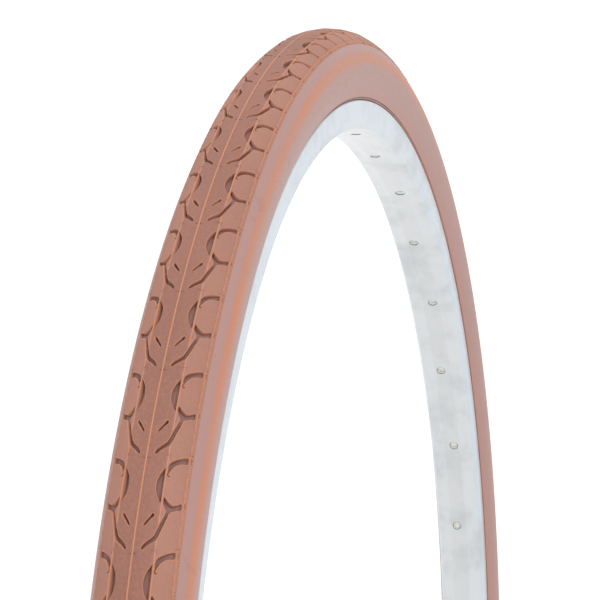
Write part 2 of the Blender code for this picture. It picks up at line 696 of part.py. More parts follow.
def main():
    clear_scene()
    parts = new_collection("bicycle_tire")
    cutters = new_collection("cutters")
    build_rim(parts, cutters)
    build_rim_strip(parts, cutters.objects["valve_hole_cutter"])
    build_tube(parts, cutters)
    build_tyre(parts)
    build_valve(parts, cutters)


main()
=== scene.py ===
"""A bicycle tyre on its rim, with moulded tread, inner parts and valve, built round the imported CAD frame.

Metres throughout. The wheel's centre is the origin, Y is the axle line and +Z is up. A point of a ring's
section is written (across, radius): its distance from the wheel's middle plane and from the axle line.
"""

import math

import bmesh
import bpy
from bpy.props import FloatProperty, FloatVectorProperty, IntProperty, PointerProperty
from mathutils import Matrix, Vector
from mathutils.geometry import delaunay_2d_cdt


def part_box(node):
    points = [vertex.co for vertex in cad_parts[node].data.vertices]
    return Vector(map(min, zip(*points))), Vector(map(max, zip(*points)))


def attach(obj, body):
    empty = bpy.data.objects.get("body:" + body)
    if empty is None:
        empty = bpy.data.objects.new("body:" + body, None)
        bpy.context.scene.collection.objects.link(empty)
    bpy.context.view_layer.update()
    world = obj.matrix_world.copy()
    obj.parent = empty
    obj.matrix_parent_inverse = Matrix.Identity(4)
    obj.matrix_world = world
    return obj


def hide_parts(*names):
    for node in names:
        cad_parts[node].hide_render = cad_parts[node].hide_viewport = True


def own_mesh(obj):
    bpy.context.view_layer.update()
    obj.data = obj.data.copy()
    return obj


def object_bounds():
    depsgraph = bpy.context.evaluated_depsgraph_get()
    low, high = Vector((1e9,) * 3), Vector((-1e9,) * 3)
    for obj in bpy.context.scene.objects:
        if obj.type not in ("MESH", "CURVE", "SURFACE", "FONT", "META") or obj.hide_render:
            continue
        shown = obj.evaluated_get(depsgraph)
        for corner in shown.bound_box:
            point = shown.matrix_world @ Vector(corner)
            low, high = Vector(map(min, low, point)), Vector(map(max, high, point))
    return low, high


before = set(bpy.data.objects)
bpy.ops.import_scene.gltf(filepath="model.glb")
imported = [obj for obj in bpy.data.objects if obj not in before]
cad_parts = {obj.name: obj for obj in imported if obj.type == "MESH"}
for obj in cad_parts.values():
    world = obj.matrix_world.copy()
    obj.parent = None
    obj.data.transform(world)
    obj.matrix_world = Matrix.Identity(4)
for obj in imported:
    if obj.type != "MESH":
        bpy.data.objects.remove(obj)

bl_info = {
    "name": "Bicycle Tyre",
    "version": (1, 0, 0),
    "blender": (4, 5, 0),
    "location": "View3D > Sidebar > Tyre",
    "description": "Builds a bicycle tyre on its rim, with its tube and valve",
    "category": "Add Mesh",
}

MM = 0.001
WHEEL_SEGMENTS = 360
CAD_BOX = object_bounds()

# Main sizes of the wheel, read from the frame
TYRE_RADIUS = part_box("tread")[1].z
TYRE_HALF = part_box("sidewall_right")[1].y
SECTION_CENTRE = TYRE_RADIUS - TYRE_HALF
FLANGE_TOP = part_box("rim")[1].z
RIM_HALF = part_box("rim")[1].y
VALVE_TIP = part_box("valve_stem")[1].z

# Rim section
FLANGE_HEIGHT = 6.0 * MM
FLANGE_WALL = 1.48 * MM
RIM_DEPTH = 13.4 * MM
HUB_WALL = 2.0 * MM
HUB_BAND_HALF = 4.4 * MM
CORNER_INSET = 1.82 * MM
CORNER_RISE = 0.7 * MM
SHOULDER_RISE = 4.6 * MM
SEAT_WIDTH = 4.5 * MM
SEAT_DROP = 0.2 * MM
WELL_TAPER = 1.0 * MM
CHAMBER_WALL = 1.4 * MM
FIT_GAP = 0.3 * MM
BEAD_SEAT = FLANGE_TOP - FLANGE_HEIGHT
HUB_FACE = FLANGE_TOP - RIM_DEPTH
RIM_INNER_HALF = RIM_HALF - FLANGE_WALL
CORNER_HALF = RIM_HALF - CORNER_INSET
WELL_FLOOR = HUB_FACE + HUB_WALL
WELL_TOP_HALF = RIM_INNER_HALF - SEAT_WIDTH
WELL_FLOOR_HALF = WELL_TOP_HALF - WELL_TAPER

# Tyre section
TREAD_THICKNESS = 2.5 * MM
TREAD_EDGE_THICKNESS = 1.05 * MM
SIDEWALL_THICKNESS = 1.2 * MM
CASING_THICKNESS = 0.8 * MM
CHAFER_THICKNESS = 0.7 * MM
CHAFER_SHOWS = 1.1 * MM
BEAD_WIRE_RADIUS = 1.1 * MM
BELT_THICKNESS = 0.7 * MM
BELT_HALF_ARC = 8.5 * MM
TUBE_WALL = 0.9 * MM
LOWER_DROP = SECTION_CENTRE - FLANGE_TOP - FIT_GAP
LOWER_INSET = TYRE_HALF - (RIM_HALF - 0.28 * MM)
LOWER_ARC_RADIUS = (LOWER_DROP**2 + LOWER_INSET**2) / (2 * LOWER_INSET)
CASING_CROWN_DEPTH = TREAD_THICKNESS + BELT_THICKNESS + 2 * FIT_GAP
CASING_SIDE_DEPTH = SIDEWALL_THICKNESS + FIT_GAP
WIRE_CASE = 3 * FIT_GAP + CHAFER_THICKNESS + CASING_THICKNESS
WIRE_ACROSS = RIM_INNER_HALF - WIRE_CASE - BEAD_WIRE_RADIUS
WIRE_RING_RADIUS = BEAD_SEAT + WIRE_CASE + BEAD_WIRE_RADIUS
HOOK_RADIUS = BEAD_WIRE_RADIUS + FIT_GAP + CASING_THICKNESS / 2
WARM_RING_RISE = 4.2 * MM

# Threads inside the valve's nut and cap, and on its core
BORE_THREAD_DEPTH = 0.2 * MM
CORE_THREAD_PITCH = 0.7 * MM
CORE_THREAD_DEPTH = 0.22 * MM

# Rim tape, valve pad and tube, stacked outwards from the floor of the well
STRIP_THICKNESS = 0.8 * MM
PAD_THICKNESS = 1.2 * MM
STRIP_LOW = WELL_FLOOR + FIT_GAP * 0.5
STRIP_TOP = WELL_FLOOR + FIT_GAP + STRIP_THICKNESS
TUBE_FLOOR = STRIP_TOP + FIT_GAP + PAD_THICKNESS + FIT_GAP + TUBE_WALL / 2

# Tread pattern, in millimetres: (run round the tyre, arc distance from the crown line)
TREAD_EDGE_MM = 16.6
LEFT_LEG_MM = [
    (-3.6, 8.0), (-6.0, 7.9), (-7.8, 8.1), (-9.0, 8.9), (-10.2, 10.6), (-11.2, 12.6),
    (-11.8, 14.5), (-9.6, 14.6), (-9.0, 12.4), (-8.2, 10.8), (-6.8, 9.5), (-5.0, 8.5),
]
BRANCH_MM = [
    (4.0, 8.0), (6.4, 8.0), (7.8, 8.7), (8.9, 9.2), (10.7, 8.75), (13.4, 7.8), (15.8, 7.0),
    (17.6, 6.35), (18.9, 5.2), (20.4, 3.6), (21.9, 2.65), (22.8, 2.75), (22.5, 3.45),
    (21.3, 4.6), (20.1, 6.1), (19.0, 7.2), (16.6, 8.1), (14.0, 8.9), (11.0, 9.9),
    (9.0, 10.5), (8.3, 11.8), (7.6, 13.2), (7.1, 14.6), (4.9, 14.5), (5.7, 12.9),
    (6.3, 11.5), (6.0, 10.4), (5.0, 9.1),
]
DASH_MM = [
    (10.0, 4.9), (11.2, 4.2), (12.6, 3.2), (13.9, 2.45), (14.6, 2.5),
    (14.2, 3.15), (12.9, 4.05), (11.7, 5.0), (10.8, 5.6), (10.1, 5.5),
]
CRESCENT_HALF_CHORD_MM = 6.2
CRESCENT_RISE_MM = 2.3
CRESCENT_FOOT_MM = 7.1
NOTCH_CENTRES_MM = (-11.1, 5.2)
NOTCH_SIZE_MM = (1.1, 0.35)
NOTCH_ARC_MM = 15.95
SIDE_RIB_MM = 7.42
SHOULDER_LINE_MM = 15.15
SHOULDER_TICKS = 30
SHOULDER_STEP_MM = 0.35
# Painted highlight lines along the thin ribs round the tread: (arc distance, half width), and how far each
# fades
RIB_HIGHLIGHT_LINES_MM = ((0.0, 0.2), (SIDE_RIB_MM, 0.1), (SHOULDER_LINE_MM, 0.1))
RIB_HIGHLIGHT_BLUR_MM = 0.14
# Grooves lose depth along this run of the arc, down to the depth at the shoulder.
SHALLOWING_MM = (9.0, 15.0)
SHOULDER_GROOVE_MM = 1.1
# The pattern repeats along a slanted line that crosses no groove.
SEAM_START_MM = 24.4
SEAM_SLANT = 0.25
LAND_COLUMNS = 8
# Height of the tread's face over the round section, between the grooves
LAND_HEIGHTS_MM = [
    (0.0, 0.0), (0.22, -0.03), (0.5, -0.3), (1.7, -0.24), (3.0, -0.1), (4.2, 0.0), (5.4, 0.0), (6.5, 0.0),
    (7.15, 0.0), (7.3, 0.18), (7.55, 0.18), (7.7, 0.0), (8.8, 0.0), (10.2, 0.0), (11.6, 0.0), (13.0, 0.0),
    (14.2, 0.0), (14.9, 0.0), (15.05, 0.15), (15.25, 0.1), (15.42, -0.35), (16.6, -0.35),
]


def linear(code):
    """An sRGB hex colour as linear RGBA."""
    parts = [int(code[i : i + 2], 16) / 255 for i in (0, 2, 4)]
    return tuple(p / 12.92 if p <= 0.04045 else ((p + 0.055) / 1.055) ** 2.4 for p in parts) + (1.0,)


def colour_property(name, description, code):
    return FloatVectorProperty(
        name=name, description=description, default=linear(code), size=4, subtype="COLOR", min=0, max=1
    )


def length_property(name, description, value):
    return FloatProperty(
        name=name, description=description, default=value, subtype="DISTANCE", unit="LENGTH", precision=5
    )


# ---------------------------------------------------------------- mesh tools


def finish_mesh(name, verts, faces, sharp_degrees=35.0):
    """A closed mesh from points and faces: doubles merged, facing out, shaded smooth up to an angle."""
    mesh = bpy.data.meshes.new(name)
    mesh.from_pydata(verts, [], faces)
    tidy_mesh(mesh, sharp_degrees)
    return mesh


def tidy_mesh(mesh, sharp_degrees=35.0, merge=2e-7):
    """Merges points within the merge distance, turns the faces out and shades them smooth up to an angle."""
    form = bmesh.new()
    form.from_mesh(mesh)
    bmesh.ops.remove_doubles(form, verts=form.verts, dist=merge)
    bmesh.ops.dissolve_degenerate(form, edges=form.edges, dist=merge)
    bmesh.ops.recalc_face_normals(form, faces=form.faces)
    form.to_mesh(mesh)
    form.free()
    mesh.shade_smooth()
    mesh.set_sharp_from_angle(angle=math.radians(sharp_degrees))


def new_piece(name, mesh, *materials):
    piece = bpy.data.objects.new(name, mesh)
    bpy.context.scene.collection.objects.link(piece)
    for material in materials:
        mesh.materials.append(material)
    return piece


def settle(piece, body, slot, *nodes):
    """Hands a piece to the frame: the body it rides on and the CAD nodes it stands for, which it hides. Its
    finish, the slot, is not used.
    """
    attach(piece, body)
    if nodes:
        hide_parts(*nodes)
    return piece


def wheel_point(across, radius, angle):
    """A place on the wheel. The angle runs from the top towards +X."""
    return radius * math.sin(angle), across, radius * math.cos(angle)


def valve_point(radius, z, angle):
    return radius * math.cos(angle), radius * math.sin(angle), z


def turned_mesh(name, outline, segments, place, sharp_degrees=35.0):
    """A mesh turned from a closed outline.

    Its wrap map is in metres: round the turn, and along the outline.
    """
    count = len(outline)
    run = [0.0]
    for start, end in zip(outline, outline[1:] + outline[:1]):
        run.append(run[-1] + math.dist(start, end))
    reach = max(abs(value) for point in outline for value in point)
    verts, faces, wraps = [], [], []
    for turn in range(segments):
        angle = math.tau * turn / segments
        verts += [place(first, second, angle) for first, second in outline]
        after = (turn + 1) % segments
        for i in range(count):
            j = (i + 1) % count
            faces.append((turn * count + i, turn * count + j, after * count + j, after * count + i))
            low, high = turn * reach * math.tau / segments, (turn + 1) * reach * math.tau / segments
            wraps.append(((low, run[i]), (low, run[i + 1]), (high, run[i + 1]), (high, run[i])))
    mesh = bpy.data.meshes.new(name)
    mesh.from_pydata(verts, [], faces)
    layer = mesh.uv_layers.new(name="Wrap")
    flat = [value for face in wraps for corner in face for value in corner]
    layer.data.foreach_set("uv", flat)
    tidy_mesh(mesh, sharp_degrees)
    return mesh


def rounded(outline, radius, steps=3, closed=True):
    """The outline with each corner replaced by a short arc, no longer than its sides allow."""
    made = []
    count = len(outline)
    for i, point in enumerate(outline):
        if not closed and i in (0, count - 1):
            made.append(point)
            continue
        here = Vector(point)
        back, ahead = Vector(outline[i - 1]) - here, Vector(outline[(i + 1) % count]) - here
        turn = math.pi - back.angle(ahead)
        if turn < math.radians(8):
            made.append(point)
            continue
        trim = min(radius * math.tan(turn / 2), back.length * 0.45, ahead.length * 0.45)
        start, end = here + back.normalized() * trim, here + ahead.normalized() * trim
        for step in range(steps + 1):
            t = step / steps
            made.append(tuple(start * (1 - t) ** 2 + here * 2 * t * (1 - t) + end * t**2))
    return made


def spread(start, end, count):
    return [start + (end - start) * i / (count - 1) for i in range(count)]


def walled(path, wall):
    """A closed outline with even thickness round an open middle line."""
    left, right = [], []
    for i, point in enumerate(path):
        before, after = Vector(path[max(i - 1, 0)]), Vector(path[min(i + 1, len(path) - 1)])
        way = (after - before).normalized()
        normal = Vector((-way.y, way.x)) * wall / 2
        left.append(tuple(Vector(point) + normal))
        right.append(tuple(Vector(point) - normal))
    return left + right[::-1]


def both_sides(half):
    """A symmetric path from its +Y half, which starts on the middle plane."""
    return [(-across, radius) for across, radius in reversed(half[1:])] + list(half)


def mirrored(outline):
    return [(-across, radius) for across, radius in reversed(outline)]


def round_point(angle, across_half, radial_half):
    """A point of an oval section. The angle is 0 at the crown and a quarter turn at the widest line."""
    return across_half * math.sin(angle), SECTION_CENTRE + radial_half * math.cos(angle)


def lower_point(radius, depth):
    """A point below the tyre's widest line, a depth under its outer face."""
    centre = TYRE_HALF - LOWER_ARC_RADIUS
    reach = LOWER_ARC_RADIUS - depth
    return centre + math.sqrt(reach**2 - (SECTION_CENTRE - radius) ** 2), radius


# ---------------------------------------------------------------- node tools


def add_node(tree, kind, inputs=None, **settings):
    """Adds a node, sets its properties, and fills each input with a value or a link from an output."""
    made = tree.nodes.new(kind)
    for key, value in settings.items():
        setattr(made, key, value)
    for key, value in (inputs or {}).items():
        if isinstance(value, bpy.types.NodeSocket):
            tree.links.new(value, made.inputs[key])
        else:
            made.inputs[key].default_value = value
    return made


def new_material(name, colour, roughness, metallic=0.0, **sockets):
    """A Principled material to which the caller adds its pattern."""
    material = bpy.data.materials.new(name)
    material.use_nodes = True
    tree = material.node_tree
    shader = tree.nodes["Principled BSDF"]
    shader.inputs["Base Color"].default_value = colour
    shader.inputs["Roughness"].default_value = roughness
    shader.inputs["Metallic"].default_value = metallic
    for key, value in sockets.items():
        shader.inputs[key.replace("_", " ")].default_value = value
    return material, tree, shader


def mix_colours(tree, amount, first, second):
    made = add_node(tree, "ShaderNodeMix", {0: amount, 6: first, 7: second}, data_type="RGBA")
    return made.outputs[2]


def math_node(tree, operation, first, second=0.0, clamp=False):
    made = add_node(tree, "ShaderNodeMath", {0: first, 1: second}, operation=operation, use_clamp=clamp)
    return made.outputs[0]


def noise_at(tree, size, detail=2.0, roughness=0.5, coordinates=None):
    """Noise whose features are about this size, in metres."""
    if coordinates is None:
        coordinates = add_node(tree, "ShaderNodeTexCoord").outputs["Object"]
    made = add_node(
        tree,
        "ShaderNodeTexNoise",
        {"Vector": coordinates, "Scale": 1 / size, "Detail": detail, "Roughness": roughness},
    )
    return made.outputs["Fac"]


def bumped(tree, shader, height, distance, strength=1.0):
    bump = add_node(tree, "ShaderNodeBump", {"Height": height, "Distance": distance, "Strength": strength})
    tree.links.new(bump.outputs["Normal"], shader.inputs["Normal"])


def wheel_radius(tree, parts):
    """Distance from the axle line, from the outputs of a split position."""
    flat = add_node(tree, "ShaderNodeCombineXYZ", {"X": parts["X"], "Z": parts["Z"]})
    return add_node(tree, "ShaderNodeVectorMath", {0: flat.outputs[0]}, operation="LENGTH").outputs["Value"]


def ramp(tree, value, low, high, start=0.0, end=1.0):
    """The value's range from low to high as start to end, eased and clamped."""
    made = add_node(
        tree,
        "ShaderNodeMapRange",
        {"Value": value, "From Min": low, "From Max": high, "To Min": start, "To Max": end},
        interpolation_type="SMOOTHSTEP",
    )
    return made.outputs["Result"]


# ---------------------------------------------------------------- materials


def tread_material(settings):
    """Moulded terracotta tread compound: matt and mottled, with painted shade on the crown and in the grooves,
    and painted highlights on the mould ribs and groove rims.
    """
    material, tree, shader = new_material(
        "terracotta_tread_rubber", settings.tread_colour, 0.62, Specular_IOR_Level=0.35
    )
    groove = add_node(tree, "ShaderNodeAttribute", attribute_name="groove").outputs["Fac"]
    edge = add_node(tree, "ShaderNodeAttribute", attribute_name="edge").outputs["Fac"]
    arc = add_node(tree, "ShaderNodeAttribute", attribute_name="arc").outputs["Fac"]
    arc = math_node(tree, "ABSOLUTE", arc)
    # Painted highlights: the rims of the grooves, the thin ribs and the shoulder ticks are paler.
    painted_highlight = edge
    for place, half_width in RIB_HIGHLIGHT_LINES_MM:
        away = math_node(tree, "ABSOLUTE", math_node(tree, "SUBTRACT", arc, place))
        line = ramp(tree, away, half_width, half_width + RIB_HIGHLIGHT_BLUR_MM, 1.0, 0.0)
        painted_highlight = math_node(tree, "MAXIMUM", painted_highlight, line)

    # Small ticks of painted highlight cross the step at the shoulder.
    position = add_node(tree, "ShaderNodeTexCoord").outputs["Object"]
    parts = add_node(tree, "ShaderNodeSeparateXYZ", {"Vector": position}).outputs
    around = math_node(tree, "ARCTAN2", parts["X"], parts["Z"])
    turns = math_node(tree, "MULTIPLY", around, float(settings.pitches * SHOULDER_TICKS))
    ticks = math_node(tree, "SINE", turns)
    shoulder = ramp(tree, arc, SHOULDER_LINE_MM + 0.05, SHOULDER_LINE_MM + 0.2)
    ticked = math_node(tree, "MULTIPLY", shoulder, ramp(tree, ticks, -0.3, 0.3, 0.0, 0.5))
    painted_highlight = math_node(tree, "MAXIMUM", painted_highlight, ticked)

    mottle = ramp(tree, noise_at(tree, 45 * MM, 3.0), 0.3, 0.7)
    # Painted shade: the crown between the side ribs is darker than the outer tread.
    crown = ramp(tree, arc, SIDE_RIB_MM - 1.2, SIDE_RIB_MM + 0.4, 1.0, 0.0)
    crown_shaded = mix_colours(tree, crown, tuple(settings.tread_colour), tuple(settings.crown_shade_colour))
    land = mix_colours(tree, mottle, mix_colours(tree, 0.12, crown_shaded, (0, 0, 0, 1)), crown_shaded)
    grain = noise_at(tree, 1.1 * MM, 4.0, 0.65)
    # One pale colour serves for the painted highlights and for the grain's speckle.
    pale_highlight_and_speckle = tuple(settings.highlight_and_speckle_colour)
    speckled = mix_colours(tree, ramp(tree, grain, 0.35, 0.75, 0.0, 0.25), land, pale_highlight_and_speckle)
    ribbed = mix_colours(tree, math_node(tree, "MULTIPLY", painted_highlight, 0.85), speckled, pale_highlight_and_speckle)
    # Painted shade: the floors and walls of the grooves are darker.
    groove_shade = math_node(tree, "MULTIPLY", groove, 0.9)
    colour = mix_colours(tree, groove_shade, ribbed, tuple(settings.groove_shade_colour))
    tree.links.new(colour, shader.inputs["Base Color"])
    tree.links.new(ramp(tree, grain, 0.3, 0.8, 0.55, 0.72), shader.inputs["Roughness"])
    bumped(tree, shader, grain, 0.05 * MM, 0.6)
    return material


def sidewall_material(settings):
    """Pressed sidewall rubber: smooth pink-brown, a warmer ring above its widest line, faint scuffs."""
    material, tree, shader = new_material(
        "pink_sidewall_rubber", settings.sidewall_colour, 0.5, Specular_IOR_Level=0.4
    )
    position = add_node(tree, "ShaderNodeTexCoord").outputs["Object"]
    parts = add_node(tree, "ShaderNodeSeparateXYZ", {"Vector": position}).outputs
    radius = wheel_radius(tree, parts)
    warm_middle = SECTION_CENTRE + WARM_RING_RISE
    rise = ramp(tree, radius, warm_middle - 4.2 * MM, warm_middle - 1.6 * MM)
    fall = ramp(tree, radius, warm_middle + 1.6 * MM, warm_middle + 2.6 * MM, 1.0, 0.0)
    band = math_node(tree, "MULTIPLY", rise, fall)
    mottle = ramp(tree, noise_at(tree, 60 * MM, 3.0), 0.3, 0.7, 0.6, 1.0)
    grain = noise_at(tree, 0.9 * MM, 3.0, 0.6)
    mottled = math_node(tree, "MULTIPLY", band, mottle)
    warm = mix_colours(tree, mottled, tuple(settings.sidewall_colour), tuple(settings.band_colour))
    foot = ramp(tree, radius, FLANGE_TOP + 2.0 * MM, FLANGE_TOP + 6.0 * MM, 0.15, 0.0)
    footed = mix_colours(tree, foot, warm, tuple(settings.band_colour))
    scuffs = ramp(tree, noise_at(tree, 9 * MM, 5.0, 0.7), 0.6, 0.7, 0.0, 0.3)
    colour = mix_colours(tree, scuffs, footed, tuple(settings.scuff_colour))
    tree.links.new(colour, shader.inputs["Base Color"])
    tree.links.new(ramp(tree, grain, 0.3, 0.8, 0.42, 0.56), shader.inputs["Roughness"])
    bumped(tree, shader, grain, 0.02 * MM, 0.5)
    return material


def woven_material(name, colour, thread, roughness=0.8, rubbered=0.0):
    """Plain-woven cloth: threads of this spacing cross over and under, with painted shade in the gaps between
    them, which rubber fills.
    """
    material, tree, shader = new_material(name, colour, roughness, Sheen_Weight=0.2)
    wrap = add_node(tree, "ShaderNodeUVMap", uv_map="Wrap").outputs["UV"]
    parts = add_node(tree, "ShaderNodeSeparateXYZ", {"Vector": wrap}).outputs
    waves = []
    for axis in ("X", "Y"):
        turns = math_node(tree, "MULTIPLY", parts[axis], math.pi / thread)
        waves.append(math_node(tree, "SINE", turns))
    weave = math_node(tree, "MULTIPLY", waves[0], waves[1])
    height = ramp(tree, weave, -2.0, 0.0)
    # Painted shade: the gaps between the threads are darker; the same darker colour also shows wear.
    darker = tuple(c * 0.72 for c in colour[:3]) + (1.0,)
    cloth = mix_colours(tree, height, darker, tuple(colour))
    wear = ramp(tree, noise_at(tree, 12 * MM), 0.35, 0.7, 0.0, 0.35 + rubbered)
    worn = mix_colours(tree, wear, cloth, darker)
    tree.links.new(worn, shader.inputs["Base Color"])
    bumped(tree, shader, height, thread * 0.3 * (1 - rubbered))
    return material


def rim_material(settings):
    """Extruded aluminium under pale satin lacquer: faint smudges, painted cool shade on the brake tracks,
    painted shade on the drilled band and hole edges, painted light on the hole walls.
    """
    material, tree, shader = new_material(
        "satin_lacquered_aluminium", settings.face_colour, 0.32, Coat_Weight=0.25, Coat_Roughness=0.2
    )
    position = add_node(tree, "ShaderNodeTexCoord").outputs["Object"]
    parts = add_node(tree, "ShaderNodeSeparateXYZ", {"Vector": position}).outputs
    across = math_node(tree, "ABSOLUTE", parts["Y"])
    # Painted shade: the brake tracks are cooler and darker than the face.
    side = ramp(tree, across, CORNER_HALF - 0.2 * MM, CORNER_HALF + 0.6 * MM)
    # Painted shade: the drilled middle band is darker.
    middle = ramp(tree, across, HUB_BAND_HALF - 0.3 * MM, HUB_BAND_HALF + 0.4 * MM, 0.6, 0.0)
    face = mix_colours(tree, middle, tuple(settings.face_colour), tuple(settings.band_colour))
    side_shaded = mix_colours(tree, side, face, tuple(settings.side_shade_colour))
    # The extruding die draws fine lines along the hoop.
    lines = add_node(tree, "ShaderNodeCombineXYZ", {"X": wheel_radius(tree, parts), "Y": parts["Y"]})
    drawn = noise_at(tree, 0.35 * MM, coordinates=lines.outputs[0])
    smudge = ramp(tree, noise_at(tree, 22 * MM, 4.0, 0.6), 0.42, 0.7, 0.0, 0.55)
    grubby = mix_colours(tree, smudge, side_shaded, tuple(settings.grime_colour))
    # Painted shade darkens each spoke hole's edge, and painted light brightens its wall.
    hole = add_node(tree, "ShaderNodeAttribute", attribute_name="hole").outputs["Fac"]
    walls = math_node(tree, "MULTIPLY", hole, -1.0, clamp=True)
    edges = math_node(tree, "MULTIPLY", hole, 0.95, clamp=True)
    hole_walls_lit = mix_colours(tree, walls, grubby, tuple(settings.hole_wall_light_colour))
    hole_shade_and_light = mix_colours(tree, edges, hole_walls_lit, tuple(settings.hole_edge_shade_colour))
    tree.links.new(hole_shade_and_light, shader.inputs["Base Color"])
    tree.links.new(ramp(tree, drawn, 0.3, 0.7, 0.29, 0.37), shader.inputs["Roughness"])
    bumped(tree, shader, drawn, 0.003 * MM, 0.25)
    return material


def metal_material(name, code, roughness):
    """Turned or drawn bare metal: fine tool lines and slight tarnish."""
    material, tree, shader = new_material(name, linear(code), roughness, 1.0)
    tarnish = ramp(tree, noise_at(tree, 2.5 * MM, 4.0, 0.6), 0.4, 0.75, 0.0, 0.25)
    darker = tuple(c * 0.55 for c in linear(code)[:3]) + (1.0,)
    tree.links.new(mix_colours(tree, tarnish, linear(code), darker), shader.inputs["Base Color"])
    fine = noise_at(tree, 0.12 * MM)
    tree.links.new(ramp(tree, fine, 0.3, 0.7, roughness * 0.8, roughness * 1.3), shader.inputs["Roughness"])
    bumped(tree, shader, fine, 0.004 * MM)
    return material


def moulded_material(name, code, roughness, grain_size=0.4 * MM):
    """Moulded rubber or plastic: one colour right through, a fine spark-eroded grain and a dusty bloom."""
    material, tree, shader = new_material(name, linear(code), roughness, Specular_IOR_Level=0.45)
    bloom = ramp(tree, noise_at(tree, 8 * MM, 4.0, 0.6), 0.45, 0.8, 0.0, 0.3)
    dusty = tuple(c * 0.6 + 0.06 for c in linear(code)[:3]) + (1.0,)
    tree.links.new(mix_colours(tree, bloom, linear(code), dusty), shader.inputs["Base Color"])
    grain = noise_at(tree, grain_size, 3.0)
    tree.links.new(ramp(tree, grain, 0.3, 0.7, roughness * 0.9, roughness * 1.1), shader.inputs["Roughness"])
    bumped(tree, shader, grain, 0.02 * MM, 0.6)
    return material


def floor_material(settings):
    """A pale studio floor with a barely visible mottle."""
    material, tree, shader = new_material("pale_studio_floor", settings.floor_colour, 0.9)
    shade = tuple(c * 0.985 for c in settings.floor_colour[:3]) + (1.0,)
    colour = mix_colours(tree, noise_at(tree, 400 * MM), tuple(settings.floor_colour), shade)
    tree.links.new(colour, shader.inputs["Base Color"])
    return material


# ---------------------------------------------------------------- tread


def smooth_loop(points, steps=2):
    """A closed curve through the points."""
    made = []
    count = len(points)
    for i in range(count):
        a, b, c, d = (Vector(points[(i + k) % count]) for k in (-1, 0, 1, 2))
        for step in range(steps):
            t = step / steps
            made.append(
                (b * 2 + (c - a) * t + (a * 2 - b * 5 + c * 4 - d) * t**2 + (b * 3 - a - c * 3 + d) * t**3) / 2
            )
    return made


def crescent_loop():
    """A half-moon on a straight foot."""
    radius = (CRESCENT_HALF_CHORD_MM**2 + CRESCENT_RISE_MM**2) / (2 * CRESCENT_RISE_MM)
    sweep = math.asin(CRESCENT_HALF_CHORD_MM / radius)
    centre = CRESCENT_FOOT_MM - CRESCENT_RISE_MM + radius
    arc = [Vector((radius * math.sin(a), centre - radius * math.cos(a))) for a in spread(-sweep, sweep, 13)]
    foot = [Vector((s, CRESCENT_FOOT_MM)) for s in spread(CRESCENT_HALF_CHORD_MM, -CRESCENT_HALF_CHORD_MM, 9)]
    return arc + foot[1:-1]


def notch_loop(centre):
    wide, tall = NOTCH_SIZE_MM
    return [
        Vector((centre + wide * math.cos(a), NOTCH_ARC_MM + tall * math.sin(a)))
        for a in spread(0, math.tau, 9)[:-1]
    ]


def grown(loop, distance):
    """The loop moved outwards by the distance, or inwards if it is negative."""
    count = len(loop)
    area = sum(loop[i - 1].cross(loop[i]) for i in range(count))
    sign = 1 if area > 0 else -1
    made = []
    for i in range(count):
        way = (loop[(i + 1) % count] - loop[i - 1]).normalized()
        made.append(loop[i] + Vector((way.y, -way.x)) * sign * distance)
    return made


def land_height(arc):
    for (low, a), (high, b) in zip(LAND_HEIGHTS_MM, LAND_HEIGHTS_MM[1:]):
        if arc <= high:
            return a + (b - a) * max(0.0, (arc - low) / (high - low))
    return LAND_HEIGHTS_MM[-1][1]


def inside(loop, point):
    hit = False
    for a, b in zip(loop, loop[1:] + loop[:1]):
        if (a.y > point.y) != (b.y > point.y):
            if point.x < (b.x - a.x) * (point.y - a.y) / (b.y - a.y) + a.x:
                hit = not hit
    return hit


def near(loop, point, distance):
    return any((corner - point).length_squared < distance**2 for corner in loop)


def groove_depth_at(arc, deepest):
    """Grooves grow shallower towards the shoulder, where the tread is thinner."""
    start, end = SHALLOWING_MM
    t = min(max((arc - start) / (end - start), 0.0), 1.0)
    return deepest + (SHOULDER_GROOVE_MM - deepest) * t * t * (3 - 2 * t)


